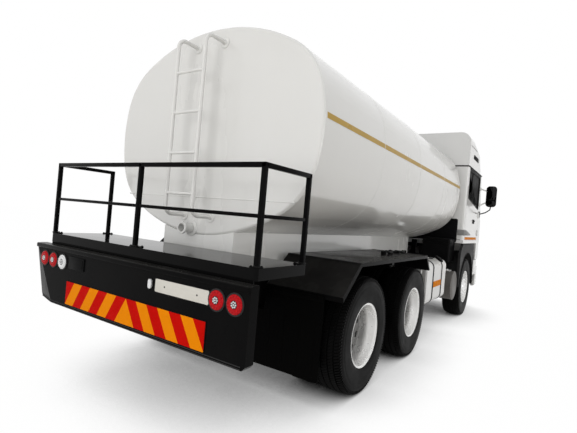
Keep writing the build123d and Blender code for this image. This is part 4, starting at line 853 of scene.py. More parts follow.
FRONT_CAP = [
    (0.089, 0.16), (0.094, 0.158), (0.096, 0.112), (0.104, 0.106), (0.12, 0.098), (0.136, 0.082),
    (0.144, 0.06), (0.147, 0),
]
NUT_R = 0.1325
DUAL_OFFSET = 0.17


def rear_wheel(axle, hand):
    side = SIDES[hand]
    x = AXLES[axle]
    body = f"{axle}_wheels_{hand}"
    tyres = Shape()
    for y in (OUTER_Y, INNER_Y):
        tyres.add(DRIVE_TYRE, Matrix.Translation((x, side * y, TYRE_R)) @ Matrix.Diagonal((1, side, 1, 1)))
    tyres.done(f"{axle}_tyre_pair_{hand}", RUBBER, body, "tyre", 32.0, (f"{axle}_tyres_{hand}",))
    at = Vector((x, side * DUAL_Y, TYRE_R))
    out = Vector((0, side, 0))
    place = Matrix.Translation(at) @ Matrix.Diagonal((1, side, 1, 1))
    rims, discs, hub, nuts = (Shape() for _ in range(4))
    for y in (DUAL_OFFSET, -DUAL_OFFSET):
        rims.lathe([(a + y, r) for a, r in BARREL], at, out, 72)
    for way in (1, -1):
        cone = slope([(0.192, way * 0.126), (0.262, way * 0.136)])
        sector_disc(discs, place, cone, (0.204, 0.24), 0.1925, 0.26, 0.46, way * 0.011)
        discs.lathe([(way * a, r) for a, r in DISH], at, out, 64)
    rims.done(f"{axle}_rim_pair_{hand}", RIM, body, "rim_silver", 40.0, (f"{axle}_rims_{hand}",))
    discs.done(f"{axle}_disc_pair_{hand}", SHADED_DISC, body, "rim_silver", 40.0)
    hub.lathe(HUB, at, out, 56)
    hub.lathe([(-0.215, 0.196), (-0.115, 0.196), (-0.11, 0.15)], at, out, 56)
    for turn in turns(8, 0.5):
        spot = Vector((0.076 * math.sin(turn), side * 0.1095, 0.076 * math.cos(turn)))
        hub.hexagon(at + spot, out, 0.014, 0.007)
    hub.done(f"{axle}_hub_{hand}", CHASSIS, body, "chassis_black", 40.0)
    for turn in turns(10):
        spot = at + Vector((NUT_R * math.sin(turn), side * 0.021, NUT_R * math.cos(turn)))
        nuts.lathe([(0, 0), (0, 0.022), (0.004, 0.022), (0.005, 0)], spot, out, 16)
        nuts.hexagon(spot + out * 0.003, out, 0.033, 0.026)
        nuts.rod(spot, spot + out * 0.046, 0.01, 10)
    turn = math.pi / 10
    valve = Vector((0.25 * math.sin(turn), side * 0.137, 0.25 * math.cos(turn)))
    tip = at + valve + Vector((0, side * 0.075, 0)) - 0.05 * Vector((valve.x, 0, valve.z))
    nuts.rod(at + valve, tip, 0.006, 10)
    nuts.done(f"{axle}_nuts_{hand}", CHROME, body, "rim_silver", 40.0)


def front_wheel(hand):
    side = SIDES[hand]
    body = f"front_wheel_{hand}"
    at = Vector((AXLES["front"], side * OUTER_Y, TYRE_R))
    out = Vector((0, side, 0))
    place = Matrix.Translation(at) @ Matrix.Diagonal((1, side, 1, 1))
    tyre, rim, disc, bright = (Shape() for _ in range(4))
    tyre.add(STEER_TYRE, place)
    tyre.done(f"front_tyre_treaded_{hand}", RUBBER, body, "tyre", 32.0, (f"front_tyre_{hand}",))
    rim.lathe(BARREL, at, out, 72)
    cone = slope([(0.06, 0.089), (0.186, 0.089), (0.204, 0.082), (0.262, 0.036)])
    sector_disc(disc, place, cone, (0.206, 0.24), 0.112, 0.261, 0.44, 0.011)
    disc.lathe(DRUM_BACK, at, out, 56)
    rim.done(f"front_rim_barrel_{hand}", RIM, body, "rim_silver", 40.0, (f"front_rim_{hand}",))
    disc.done(f"front_rim_disc_{hand}", SHADED_DISC, body, "rim_silver", 40.0)
    bright.lathe(FRONT_CAP, at, out, 56)
    for turn in turns(10):
        spot = at + Vector((NUT_R * math.sin(turn), side * 0.095, NUT_R * math.cos(turn)))
        bright.hexagon(spot, out, 0.033, 0.026)
        bright.lathe([(0.02, 0.015), (0.034, 0.014), (0.042, 0.009), (0.045, 0)], spot, out, 14)
    bright.rod(at + Vector((0, side * 0.046, 0.236)), at + Vector((0, side * 0.11, 0.24)), 0.006, 10)
    bright.done(f"front_hub_{hand}", CHROME, body, "rim_silver", 40.0)


for axle in ("axle3", "axle2"):
    for hand in SIDES:
        rear_wheel(axle, hand)
for hand in SIDES:
    front_wheel(hand)
for spare in (DRIVE_TYRE, STEER_TYRE):
    bpy.data.meshes.remove(spare)

# Fuel tank: straps, end beads, filler neck and cap, reflectors

CAP_OUT = Vector((0, -0.55, 0.83)).normalized()
NECK_AT = Vector((0.6, -1.146, 1.05))
CAP_AT = NECK_AT + CAP_OUT * 0.056
NECK = [(-0.02, 0.072), (0.026, 0.066), (0.04, 0.05), (0.046, 0.053), (0.056, 0.053), (0.056, 0.04)]
CAP = [
    (0, 0), (0, 0.06), (0.004, 0.063), (0.026, 0.063), (0.031, 0.058), (0.031, 0.046), (0.027, 0.043),
    (0.027, 0),
]


def fuel_outline(proud):
    return grown(oblong(-1.2, -0.56, 0.49, 1.085, 0.095, 8), proud)


straps = Shape()
for x in (0.28, 0.772):
    band(straps, "x", fuel_outline, x, ((-0.022, 0.0), (-0.02, 0.005), (0.02, 0.005), (0.022, 0.0)))
    straps.box((x - 0.012, -1.1, 1.087), (x + 0.012, -1.0, 1.101), 0.003)
    straps.rod((x, -0.6, 1.101), (x, -0.74, 1.101), 0.009)
    straps.hexagon((x, -0.735, 1.101), (0, -1, 0), 0.026, 0.018)
straps.done("fuel_tank_straps", SEAL, "chassis", "black_plastic")

beads = Shape()
for x, way in ((-0.058, 1), (1.012, -1)):
    edge = ((0.0005, -0.004), (0.004, 0.004), (0.016, 0.004), (0.02, 0.0))
    band(beads, "x", fuel_outline, x, [(way * d, p) for d, p in edge])
    for reach, depth in ((-0.06, -0.001), (-0.075, -0.007)):
        band(beads, "x", fuel_outline, x, ((0.0, reach), (way * depth, reach - 0.006), (0.0, reach - 0.012)))
beads.lathe(NECK, NECK_AT, CAP_OUT, 32)
beads.done("fuel_tank_beads", ALLOY, "chassis", "tank_silver")

cap = Shape()
cap.lathe(CAP, CAP_AT, CAP_OUT, 36)
across = CAP_OUT.orthogonal().normalized()
for turn in turns(18):
    spoke = across * math.cos(turn) + CAP_OUT.cross(across) * math.sin(turn)
    cap.rod(CAP_AT + CAP_OUT * 0.004 + spoke * 0.0625, CAP_AT + CAP_OUT * 0.025 + spoke * 0.0625, 0.005, 6)
on_cap = Matrix.Translation(CAP_AT) @ CAP_OUT.to_track_quat("Z", "X").to_matrix().to_4x4()
cap.box((-0.012, -0.044, 0.026), (0.012, 0.044, 0.036), 0.004, on_cap)
cap.done("fuel_filler_cap", PLASTIC, "chassis", "black_plastic")

reflector = Shape()
for k in range(3):
    x = 0.312 + 0.146 * k
    reflector.prism(oblong(x, x + 0.14, 0.716, 0.8, 0.006), "y", -1.203, -1.199, 0.0008)
reflector.done("fuel_tank_reflector", ORANGE_SHEET, "chassis", "lamp_red")

# Exhaust drum: rolled end rims, bands, top plate

DRUM_X, DRUM_Z = 1.617, 0.63
DRUM_RIM = [
    (-0.02, 0.2345), (-0.018, 0.2385), (-0.01, 0.2385), (-0.004, 0.234), (-0.003, 0.226), (-0.006, 0.219),
]
drum = Shape()
for y, way in ((-1.225, -1), (-0.5, 1)):
    at = (DRUM_X, y, DRUM_Z)
    drum.lathe(DRUM_RIM, at, (0, way, 0), 64)
    drum.lathe([(-0.001, 0.212), (0.003, 0.205), (0.004, 0.12), (0.004, 0)], at, (0, way, 0), 64)
for y in (-1.04, -0.72):
    hoop = [(-0.022, 0.2345), (-0.02, 0.2395), (0.02, 0.2395), (0.022, 0.2345)]
    drum.lathe(hoop, (DRUM_X, y, DRUM_Z), LEFT, 64)
    drum.hexagon((DRUM_X + 0.062, y, 0.874), AHEAD, 0.022, 0.014)
drum.done("drum_rims_and_bands", SHADED_DRUM_STEEL, "chassis", "drum_steel")
top = Shape()
top.box((DRUM_X - 0.062, -1.15, 0.862), (DRUM_X + 0.062, -0.96, 0.878), 0.004)
top.box((DRUM_X - 0.062, -1.156, 0.838), (DRUM_X + 0.062, -1.148, 0.878), 0.003)
for x in (-0.035, 0.035):
    top.hexagon((DRUM_X + x, -1.1, 0.878), UP, 0.022, 0.012)
top.done("drum_top_plate", ALLOY, "chassis", "tank_silver")

# Air cleaner: ribs, lid joint, toggle clips


def cleaner_outline(proud):
    return oblong(1.562 - proud, 1.952 + proud, -1.12 - proud, -0.66 + proud, 0.02 + proud, 4)


cleaner = Shape()
for k in range(7):
    x = 1.602 + 0.052 * k
    cleaner.box((x - 0.006, -1.126, 1.03), (x + 0.006, -1.119, 1.29), 0.002)
joint = ((1.318, 0.0), (1.32, 0.008), (1.334, 0.008), (1.336, 0.0))
band(cleaner, "z", cleaner_outline, 0.0, joint)
for x in (1.64, 1.87):
    cleaner.box((x - 0.016, -1.134, 1.3), (x + 0.016, -1.127, 1.36), 0.003)
cleaner.done("air_cleaner_ribs", PLASTIC, "chassis", "black_plastic")

# Battery box lid and air tank bands on the left side

(bx0, _, _), (bx1, by1, bz1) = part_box("battery_box")
lid = Shape()
lid.box((bx0 - 0.004, 0.6, bz1 - 0.05), (bx1 + 0.004, by1 + 0.004, bz1 + 0.008), 0.012, segments=3)
for k in range(5):
    x = bx0 + 0.08 + (bx1 - bx0 - 0.16) * k / 4
    lid.box((x - 0.012, 0.63, bz1 + 0.006), (x + 0.012, by1 - 0.03, bz1 + 0.014), 0.004)
for x in (bx0 + 0.12, bx1 - 0.12):
    lid.box((x - 0.018, by1, bz1 - 0.13), (x + 0.018, by1 + 0.009, bz1 - 0.03), 0.004)
lid.done("battery_box_lid", PLASTIC, "chassis", "black_plastic")

air_low, air_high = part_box("air_tanks")
AIR_Y = 0.65
drain_x = (air_low[0] + air_high[0]) / 2
bands = Shape()
for z in (0.9, 0.61):
    for x in (air_low[0] + 0.14, air_high[0] - 0.14):
        hoop = [(-0.017, 0.1295), (-0.016, 0.1335), (0.016, 0.1335), (0.017, 0.1295)]
        bands.lathe(hoop, (x, AIR_Y, z), AHEAD, 40)
        bands.hexagon((x, 0.785, z), LEFT, 0.02, 0.012)
    bands.lathe([(0, 0.118), (0.008, 0.1), (0.011, 0.06), (0, 0.058)], (air_high[0], AIR_Y, z), AHEAD, 40)
    bands.rod((drain_x, AIR_Y, z - 0.126), (drain_x, AIR_Y, z - 0.156), 0.014, 12)
bands.done("air_tank_bands", CHASSIS, "chassis", "chassis_black")

# Spring bolts over the rear axle pads and leaf edges

BOLT_FOOT, BOLT_TOP, BOLT_BEND = 0.53, 0.668, 0.012
BOGIE_X = -1.43
spring_bolts = Shape()
for side in SIDES.values():
    y0, y1 = side * 0.472, side * 0.568
    bend = side * BOLT_BEND
    hoop = (
        (y0, BOLT_FOOT), (y0, BOLT_TOP), (y0 + bend, BOLT_TOP + BOLT_BEND), (y1 - bend, BOLT_TOP + BOLT_BEND),
        (y1, BOLT_TOP), (y1, BOLT_FOOT),
    )
    for axle in ("axle3", "axle2"):
        for shift in (-0.04, 0.04):
            spring_bolts.pipe([(AXLES[axle] + shift, y, z) for y, z in hoop], 0.0075, 8)
    for k in range(4):
        z = 0.016 + 0.03 * k
        half = (0.6 - 0.12 * k) * 0.2
        low = (BOGIE_X - half, side * 0.4785, 0.692 + z)
        spring_bolts.box(low, (BOGIE_X + half, side * 0.5615, 0.695 + z), 0.0)
spring_bolts.done("rear_spring_bolts", CHASSIS, "chassis", "chassis_black")

# Cab: seam seals, window gaskets, handles, strips, ducts, vents

ROOF_SEAM_Z = 2.7
SCREEN_FOOT_Z = 1.8
RAKE = 0.26 / 0.90
SCREEN = oblong(-1.08, 1.08, 1.86, 2.62, 0.06, 6)
WINDOW = [(2.157, 2.16), (3.277, 2.02), (3.277, 2.64), (2.157, 2.64)]


def on_screen(points, proud):
    return [(3.722 - RAKE * (z - SCREEN_FOOT_Z) + proud, y, z) for y, z in points + points[:1]]


def skin_span(side, low, high):
    return sorted((side * (CAB_Y + low), side * (CAB_Y + high)))


seals = Shape()
seam = [(3.4, -CAB_Y), (2.02, -CAB_Y), (1.9945, -1.238), (CAB_X0, -1.2)]
seam = seam + [(x, -y) for x, y in reversed(seam)]
seals.pipe([(x, y, ROOF_SEAM_Z) for x, y in seam], 0.011)
for side in SIDES.values():
    gutter = ((2.04, 3.07), (2.3, 3.078), (2.68, 3.07))
    seals.pipe([(x, side * CAB_Y, z) for x, z in gutter], 0.0035, 8)
seals.pipe([(CAB_X0, -1.2, 1.395), (CAB_X0, 1.2, 1.395)], 0.004, 8)
lip = ((0.022, -0.001), (0.02, 0.006), (-0.004, 0.004), (-0.016, -0.019))
seals.grid([on_screen(grown(SCREEN, reach), proud) for reach, proud in lip])
seals.done("cab_seam_seals", SEAL, "cab", "black_plastic")

for hand, side in SIDES.items():
    body = f"door_{hand}"
    gasket, handle, strip, trim = (Shape() for _ in range(4))
    frame_loop = rounded(WINDOW, 0.035, 5)
    flat = rounded(WINDOW, 0.002, 2)
    outer = ((0.022, 0.0005), (0.019, 0.005), (0.002, 0.004), (-0.014, -0.02))
    collar(gasket, "y", [(grown(frame_loop, reach), side * (CAB_Y + proud)) for reach, proud in outer])
    inner = ((flat, 0.001, -0.018), (frame_loop, -0.016, -0.0185))
    collar(gasket, "y", [(grown(loop, reach), side * (CAB_Y + proud)) for loop, reach, proud in inner])
    low, high = span(side, 1.224, 1.238)
    gasket.box((2.505, low, 2.09), (2.535, high, 2.64), 0.004)
    low, high = span(side, 1.176, 1.186)
    gasket.box((2.157, low, 2.115), (3.277, high, 2.135), 0.003)
    gasket.prism(oblong(2.135, 3.3, 2.646, 2.686, 0.01, 4), "y", *skin_span(side, 0.0005, 0.0045), 0.001)
    gasket.done(f"door_window_gasket_{hand}", SEAL, body, "black_plastic")
    handle.prism(oblong(2.765, 2.935, 1.712, 1.792, 0.02), "y", *skin_span(side, -0.002, 0.007), 0.002)
    handle.prism(oblong(2.78, 2.92, 1.752, 1.778, 0.01, 4), "y", *skin_span(side, 0.006, 0.02), 0.003)
    key_at = (2.915, side * (CAB_Y + 0.006), 1.732)
    handle.lathe([(0, 0.013), (0.004, 0.012), (0.005, 0)], key_at, (0, side, 0), 16)
    handle.done(f"door_handle_{hand}", PLASTIC, body, "black_plastic")
    for k in range(8):
        x = 2.112 + 0.149 * k
        strip.prism(oblong(x, x + 0.14, 1.405, 1.45, 0.004, 2), "y", *skin_span(side, 0.0, 0.002))
    strip.done(f"door_orange_strip_{hand}", ORANGE_SHEET, body, "lamp_red")
    lining = rounded([(2.16, 1.44), (3.32, 1.44), (3.32, 1.93), (2.16, 2.07)], 0.05)
    trim.prism(lining, "y", *span(side, 1.16, 1.186), 0.006)
    trim.prism(oblong(2.55, 3.1, 1.74, 1.8, 0.028), "y", *span(side, 1.105, 1.165), 0.008)
    trim.done(f"door_inner_trim_{hand}", TRIM, body, "grey_plastic")

DUCT_Z = 1.525
DUCT_SECTION = ((0.0, -1.0), (0.7, -0.95), (1.0, -0.5), (1.0, 0.5), (0.7, 0.95), (0.0, 1.0))
# stations round the cab corner: place, direction away from the cab, half height, depth
CORNER_DUCT = (
    (CAB_X0, 1.14, -1.0, 0.0, 0.046, 0.0),
    (CAB_X0, 1.15, -1.0, 0.0, 0.048, 0.022),
    (CAB_X0, 1.196, -1.0, 0.0, 0.05, 0.026),
    (2.004, 1.232, -0.7, 0.7, 0.05, 0.028),
    (2.042, CAB_Y, 0.0, 1.0, 0.05, 0.03),
    (2.095, CAB_Y, 0.0, 1.0, 0.048, 0.032),
    (2.095, CAB_Y, 0.0, 1.0, 0.046, 0.0),
)
# stations along the door: place, half height, depth
DOOR_DUCT = (
    (2.101, 0.046, 0.0), (2.101, 0.048, 0.032), (2.25, 0.038, 0.028), (2.45, 0.022, 0.018),
    (2.64, 0.008, 0.005), (2.66, 0.006, 0.0),
)
duct, vent = Shape(), Shape()
for side in SIDES.values():
    rows = []
    for x, y, away_x, away_y, half, out in CORNER_DUCT:
        section = [(out * c, DUCT_Z + half * s) for c, s in DUCT_SECTION]
        rows.append([(x + d * away_x, side * (y + d * away_y), z) for d, z in section])
    duct.grid(rows)
    frame_loop = rounded([(2.36, 2.885), (2.9, 2.885), (2.86, 2.965), (2.4, 2.965)], 0.018, 4)
    vent.prism(frame_loop, "y", *skin_span(side, -0.001, 0.004), 0.002)
    low, high = skin_span(side, 0.003, 0.008)
    for k in range(4):
        z = 2.896 + 0.016 * k
        vent.box((2.405, low, z), (2.855, high, z + 0.006), 0.0015)
duct.done("cab_corner_ducts", PAINTED_SHADE_GREY, "cab", "grey_plastic")
vent.done("roof_side_vents", PLASTIC, "cab", "black_plastic")
for hand, side in SIDES.items():
    wedge = Shape()
    rows = []
    for x, half, out in DOOR_DUCT:
        level = DUCT_Z - 0.035 * (x - 2.101) / 0.559
        rows.append([(x, side * (CAB_Y + out * c), level + half * s) for c, s in DUCT_SECTION])
    wedge.grid(rows)
    wedge.done(f"door_side_duct_{hand}", PAINTED_SHADE_GREY, f"door_{hand}", "grey_plastic")

# Cab back: ribbed black panel over the frame

back_panel = Shape()
back_panel.prism(oblong(-1.135, 1.135, 1.346, 1.76, 0.03), "x", 1.976, 1.9925, 0.004)
for k in range(9):
    z = 1.385 + 0.042 * k
    back_panel.prism(oblong(-1.1, 1.1, z, z + 0.016, 0.007, 3), "x", 1.97, 1.978, 0.002)
back_panel.done("cab_back_panel", PLASTIC, "cab", "black_plastic")

# Cab front: grille fins, radiator with side and splash panels, wipers, headlamp frames

fins = Shape()
for z in (1.08, 1.18, 1.28, 1.38):
    fins.box((3.7285, -0.844, z + 0.0005), (3.7325, 0.844, z + 0.0615), 0.0)
    for k in range(29):
        y = -0.812 + 0.058 * k
        fins.box((3.73, y - 0.003, z + 0.001), (3.757, y + 0.003, z + 0.061), 0.0)
fins.done("grille_fins", PLASTIC, "cab", "black_plastic")

radiator = Shape()
radiator.prism(oblong(-0.34, 0.34, 0.5, 1.22, 0.02, 4), "x", 3.335, 3.385, 0.004)
radiator.box((3.38, -0.335, 0.5), (3.72, 0.335, 0.512), 0.004)
for k in range(33):
    y = -0.312 + 0.0195 * k
    radiator.box((3.384, y - 0.003, 0.53), (3.394, y + 0.003, 1.19), 0.0)
for side in SIDES.values():
    y0, y1 = span(side, 0.445, 1.12)
    radiator.prism(oblong(y0, y1, 0.5, 0.925, 0.02, 4), "x", 3.62, 3.634, 0.003)
    for k in range(6):
        z = 0.545 + 0.062 * k
        radiator.prism(oblong(y0 + 0.03, y1 - 0.03, z, z + 0.022, 0.01, 3), "x", 3.633, 3.64, 0.002)
    y0, y1 = span(side, 0.33, 0.364)
    radiator.box((3.38, y0, 0.5), (3.634, y1, 0.7293), 0.001)
    y0, y1 = span(side, 0.334, 0.452)
    radiator.box((3.6215, y0, 0.5015), (3.6325, y1, 0.729), 0.001)
radiator.done("radiator_and_splash_panels", PLASTIC, "chassis", "black_plastic")


def glass_at(y, z, off):
    return (3.702 - RAKE * (z - SCREEN_FOOT_Z) + off, y, z)


wipers = Shape()
for y, tip in ((0.78, 0.14), (0.06, -0.58), (-0.22, -0.9)):
    half_way = (y + tip) / 2
    foot = glass_at(y, 1.842, 0.03)
    wipers.lathe([(0, 0.022), (0.014, 0.02), (0.018, 0)], (foot[0] - 0.012, y, 1.836), (1, 0, 0.29), 16)
    arm = ((y - 0.1, 1.875, 0.034), (half_way, 1.915, 0.028), (half_way - 0.04, 1.918, 0.02))
    wipers.pipe([foot] + [glass_at(*spot) for spot in arm], 0.006, 8)
    blade = ((y - 0.06, 1.895, 0.009), (half_way, 1.915, 0.01), (tip, 1.925, 0.009))
    wipers.pipe([glass_at(*spot) for spot in blade], 0.007, 8)
wipers.done("windscreen_wipers", PLASTIC, "cab", "black_plastic")

LAMP_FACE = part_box("headlamps")[1][0]
BULB = [(-0.0015, 0.062), (-0.0005, 0.06), (-0.001, 0.052), (-0.0012, 0.03), (-0.0004, 0.012), (-0.0002, 0)]
frames, bulbs = Shape(), Shape()
for side in SIDES.values():
    loop = oblong(side * 0.87 - 0.172, side * 0.87 + 0.172, 0.558, 0.722, 0.02, 4)
    lip = ((0.01, -0.012), (0.01, -0.002), (0.002, -0.001), (-0.006, -0.006))
    collar(frames, "x", [(grown(loop, reach), LAMP_FACE + proud) for reach, proud in lip])
    for y in (0.8, 0.945):
        bulbs.lathe(BULB, (LAMP_FACE, side * y, 0.64), AHEAD, 32)
frames.done("headlamp_frames", PLASTIC, "chassis", "black_plastic")
bulbs.done("headlamp_reflectors", CHROME, "chassis", "rim_silver")

# Steps: white skins, ribbed treads, arch lips

ARCH_R = 0.642
skins, treads, lips = Shape(), Shape(), Shape()
for side in SIDES.values():
    low, high = skin_span(side, 0.0, 0.003)
    skins.box((3.224, low, 0.704), (3.545, high, 0.998), 0.0012)
    low, high = skin_span(side, 0.0, 0.005)
    skins.box((3.236, low, 0.716), (3.533, high, 0.986), 0.0015)
    low, high = span(side, 1.088, 1.198)
    treads.box((3.286, low, 0.54), (3.49, high, 0.546), 0.002)
    for k in range(4):
        y = side * (1.104 + 0.026 * k)
        treads.box((3.294, y - 0.004, 0.545), (3.482, y + 0.004, 0.551), 0.002)
    low, high = span(side, 1.199, 1.203)
    treads.box((3.232, low, 0.505), (3.54, high, 0.535), 0.001)
    arc = []
    for k in range(33):
        turn = math.pi * k / 32
        x, z = AXLES["front"] + ARCH_R * math.cos(turn), TYRE_R + ARCH_R * math.sin(turn)
        arc.append((x, side * (CAB_Y - 0.004), z))
    lips.pipe(arc, 0.01)
    edge = ((1.868, 0.6), (1.868, 1.162), (2.022, 1.316), (3.16, 1.316))
    lips.pipe([(x, side * (CAB_Y - 0.002), z) for x, z in edge], 0.006, 8)
skins.done("step_skins", CAB_WHITE, "chassis", "white_paint")
treads.done("step_treads", ALLOY, "chassis", "tank_silver")
lips.done("front_arch_lips", PLASTIC, "chassis", "black_plastic")

# Mirrors: rounded housings, panes and bent arms

MIRROR_Z = (2.086, 2.508)
# stations of the housing from its rim to its back: place, inset, corner radius
HOUSING = (
    (3.43, 0.016, 0.05), (3.42, 0.012, 0.055), (3.419, 0.004, 0.06), (3.43, 0.0, 0.064), (3.47, 0.004, 0.064),
    (3.494, 0.02, 0.058), (3.504, 0.046, 0.04), (3.506, 0.075, 0.018),
)
housing, panes, arms = Shape(), Shape(), Shape()
for side in SIDES.values():
    y0, y1 = span(side, 1.352, 1.546)
    loops = []
    for x, inset, radius in HOUSING:
        loops.append((oblong(y0 + inset, y1 - inset, MIRROR_Z[0] + inset, MIRROR_Z[1] - inset, radius, 8), x))
    collar(housing, "x", loops)
    housing.bm.faces.new([housing.bm.verts.new((loops[-1][1], a, b)) for a, b in loops[-1][0]])
    housing.box((3.424, y0 + 0.016, 2.215), (3.432, y1 - 0.016, 2.227), 0.002)
    for z0, z1, radius in ((2.23, 2.488, 0.042), (2.106, 2.212, 0.036)):
        panes.prism(oblong(y0 + 0.02, y1 - 0.02, z0, z1, radius, 6), "x", 3.424, 3.43, 0.001)
    for z, foot in ((2.41, 2.44), (2.17, 2.12)):
        bend = (
            (3.446, 1.243, foot), (3.446, 1.268, foot), (3.45, 1.305, (z + foot) / 2), (3.455, 1.358, z),
            (3.458, 1.4, z),
        )
        arms.pipe([(x, side * y, z) for x, y, z in bend], 0.0135, 12)
        pad = oblong(3.416, 3.476, foot - 0.032, foot + 0.032, 0.014, 4)
        arms.prism(pad, "y", *span(side, 1.2445, 1.257), 0.003)
    stalk = (
        (3.462, 1.445, 2.092), (3.46, 1.438, 2.03), (3.452, 1.36, 1.968), (3.446, 1.268, 1.935),
        (3.446, 1.243, 1.93),
    )
    housing.pipe([(x, side * y, z) for x, y, z in stalk], 0.011, 12)
    housing.prism(oblong(3.416, 3.476, 1.862, 1.984, 0.016, 4), "y", *span(side, 1.2445, 1.262), 0.004)
housing.done("mirror_housings", PLASTIC, "cab", "black_plastic", 40.0, ("mirrors",))
arms.done("mirror_arms", CAB_WHITE, "cab", "white_paint", 40.0)
panes.done("mirror_panes", MIRROR, "cab", "glass")

# Seats: crowned cushions on a pedestal

SEAT_Y = 0.6
CUSHION_CUTS = 15
# part, length, half width, height, lean in degrees, channel depth, channels across, fill
SEAT_PARTS = (
    ("cushion", (2.365, 2.895), 0.235, (1.64, 1.785), -3, 0.16, (-0.62, 0.62), 0.8),
    ("back", (2.318, 2.438), 0.225, (1.775, 2.32), -5, 0.14, (-0.35, 0.25), 0.8),
    ("headrest", (2.302, 2.392), 0.14, (2.345, 2.485), -5, 0.0, (), 0.85),
)


def cushion(low, high, lean, crown, channels):
    low, high = Vector(low), Vector(high)
    middle, half = (low + high) / 2, (high - low) / 2
    shape = Shape()
    bmesh.ops.create_cube(shape.bm, size=2.0)
    bmesh.ops.subdivide_edges(shape.bm, edges=list(shape.bm.edges), cuts=CUSHION_CUTS, use_grid_fill=True)
    thin = min(range(3), key=lambda k: half[k])
    wide = [k for k in range(3) if k != thin]
    for vert in shape.bm.verts:
        spot = vert.co.copy()
        reach = [1 - abs(spot[k]) ** 4 for k in wide]
        pull = 0.035 * (1 - spot[thin] ** 2)
        for k, other in zip(wide, reversed(wide)):
            spot[k] *= 1 - pull * (1 - abs(spot[other]) ** 2)
        spot[thin] *= 0.72 + 0.28 * math.sqrt(max(0.0, reach[0] * reach[1]))
        for channel in channels:
            gap = abs(vert.co[wide[1]] - channel)
            spot[thin] *= 1 - crown * math.exp(-((gap / 0.05) ** 2))
        corner = sum(abs(vert.co[k]) ** 8 for k in range(3))
        vert.co = Vector([spot[k] * half[k] * (1 - 0.02 * max(0.0, corner - 1)) for k in range(3)])
    place = Matrix.Translation(middle) @ Matrix.Rotation(lean, 4, "Y")
    bmesh.ops.transform(shape.bm, matrix=place, verts=shape.bm.verts)
    return shape


for hand, side in SIDES.items():
    y = side * SEAT_Y
    for part, (x0, x1), half, (z0, z1), lean, crown, channels, fill in SEAT_PARTS:
        shape = cushion((x0, y - half, z0), (x1, y + half, z1), math.radians(lean), crown, channels)
        instead = ("seats",) if (part, hand) == ("cushion", "left") else ()
        piece = shape.done(f"seat_{part}_{hand}", SEAT, "cab", "seat_fabric", 60.0, instead)
    stand = Shape()
    skirt = rounded([(2.44, 1.397), (2.82, 1.397), (2.88, 1.64), (2.37, 1.64)], 0.03)
    stand.prism(skirt, "y", y - 0.17, y + 0.17, 0.012)
    for k in range(5):
        z = 1.43 + 0.036 * k
        stand.prism(oblong(2.425, 2.845, z, z + 0.02, 0.008, 3), "y", y - 0.182, y + 0.182, 0.004)
    for shift in (-0.07, 0.07):
        stand.rod((2.362, y + shift, 2.29), (2.35, y + shift, 2.38), 0.007, 10)
    stand.done(f"seat_stand_{hand}", PLASTIC, "cab", "black_plastic")

# Fascia: binnacle, dials, vents

DASH_X = 3.242
DIAL = [(0, 0), (0, 0.056), (0.004, 0.06), (0.008, 0.058), (0.006, 0.052)]
fascia, dials = Shape(), Shape()
hood = [(DASH_X - 0.1, 1.9), (DASH_X + 0.02, 1.88), (DASH_X + 0.06, 1.985), (DASH_X - 0.07, 2.01)]
fascia.prism(rounded(hood, 0.012, 4), "y", -0.82, -0.38, 0.008)
for y in (-0.7, -0.5):
    dials.lathe(DIAL, (DASH_X - 0.087, y, 1.955), (-1, 0, 0.27), 32)
for y in (0.0, 0.62, 1.0, -1.0):
    outline = oblong(y - 0.075, y + 0.075, 1.8, 1.86, 0.012, 4)
    fascia.prism(outline, "x", DASH_X - 0.022, DASH_X - 0.005, 0.003)
    for k in range(4):
        z = 0.013 * k
        fascia.box((DASH_X - 0.026, y - 0.066, 1.808 + z), (DASH_X - 0.02, y + 0.066, 1.812 + z), 0.001)
fascia.done("fascia_binnacle", PLASTIC, "cab", "black_plastic")
dials.done("fascia_dials", CHROME, "cab", "rim_silver")

# Stage: white floor with a painted contact shadow, its glow darkened by ambient occlusion

FLOOR_REACH = 60.0
floor_mat = bpy.data.materials.new("studio_floor")
floor_mat.use_nodes = True
tree = floor_mat.node_tree
shader = tree.nodes["Principled BSDF"]
shader.inputs["Base Color"].default_value = (0.68, 0.65, 0.605, 1.0)
shader.inputs["Roughness"].default_value = 0.9
shader.inputs["Specular IOR Level"].default_value = 0.1
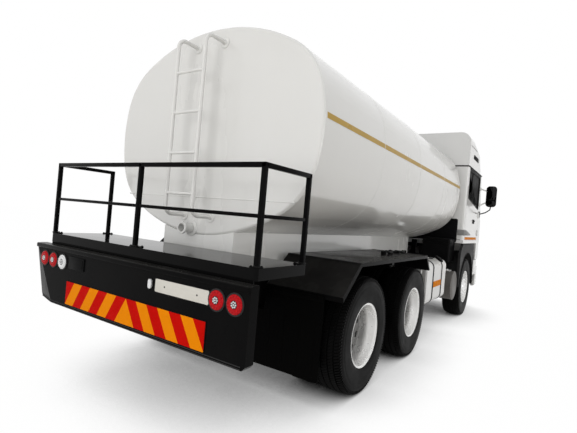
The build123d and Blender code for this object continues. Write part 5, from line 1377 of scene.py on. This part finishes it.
# ambient occlusion darkens the floor's white glow near the truck: painted contact shadow
near = add_node(tree, "AmbientOcclusion", {"Distance": 1.5}, {})
near.samples = 24
shade = spread(tree, near.outputs["AO"], 0.0, 1.0, 0.06, 0.76)
glow = add_node(tree, "Emission", {}, {"Color": shade})
share = calc(tree, "MULTIPLY", straight_rays(tree), 0.995)
parts = {0: share, 1: shader.outputs["BSDF"], 2: glow.outputs["Emission"]}
blend = add_node(tree, "MixShader", {}, parts)
surface_out = next(n for n in tree.nodes if n.type == "OUTPUT_MATERIAL")
tree.links.new(blend.outputs["Shader"], surface_out.inputs["Surface"])
corners = [(FLOOR_REACH * a, FLOOR_REACH * b, 0) for a, b in ((-1, -1), (1, -1), (1, 1), (-1, 1))]
floor_mesh = bpy.data.meshes.new("floor")
floor_mesh.from_pydata(corners, [], [(0, 1, 2, 3)])
floor_mesh.materials.append(floor_mat)
floor = bpy.data.objects.new("floor", floor_mesh)
SCENE.collection.objects.link(floor)

# Light and camera

world = bpy.data.worlds.new("studio")
SCENE.world = world
world.use_nodes = True
sky = world.node_tree
background = sky.nodes["Background"].inputs
background["Color"].default_value = (1.0, 1.0, 1.0, 1.0)
aim = sky.nodes.new("ShaderNodeTexCoord").outputs["Generated"]
rise = spread(sky, height_of(sky, aim), 0.3, 0.54, -0.05, 0.75)
sky.links.new(calc(sky, "MAXIMUM", straight_rays(sky), rise), background["Strength"])

# name, place, aim, size, power
LAMPS = (
    ("key", (-5.5, -6.0, 9.0), (-0.5, 0.0, 1.5), 7.0, 80.0),
    ("fill", (-11.0, 3.0, 5.0), (-2.0, 0.0, 1.5), 6.0, 110.0),
    ("top", (1.0, 0.0, 11.0), (0.0, 0.0, 0.0), 9.0, 70.0),
    ("rear", (-11.0, -2.0, 1.7), (-3.0, 0.0, 1.4), 4.0, 240.0),
    ("side", (0.5, -11.0, 2.5), (0.8, 0.0, 1.4), 6.0, 180.0),
)
for name, at, aim, size, power in LAMPS:
    lamp = bpy.data.lights.new(name, "AREA")
    lamp.shape = "DISK"
    lamp.size = size
    lamp.energy = power
    holder = bpy.data.objects.new(name, lamp)
    holder.location = at
    holder.rotation_euler = (Vector(aim) - Vector(at)).to_track_quat("-Z", "Y").to_euler()
    holder.visible_glossy = name == "side"
    SCENE.collection.objects.link(holder)

camera = bpy.data.cameras.new("camera")
camera.sensor_width = 36.0
camera.lens = 25.34
camera.clip_end = 300.0
eye = bpy.data.objects.new("camera", camera)
eye.matrix_world = Matrix(
    (
        (0.5500, -0.0503, -0.8337, -5.6309),
        (-0.8309, 0.0687, -0.5523, -2.6031),
        (0.0851, 0.9964, -0.0040, 1.5185),
        (0.0, 0.0, 0.0, 1.0),
    )
)
SCENE.collection.objects.link(eye)
SCENE.camera = eye
SCENE.view_settings.view_transform = "Standard"
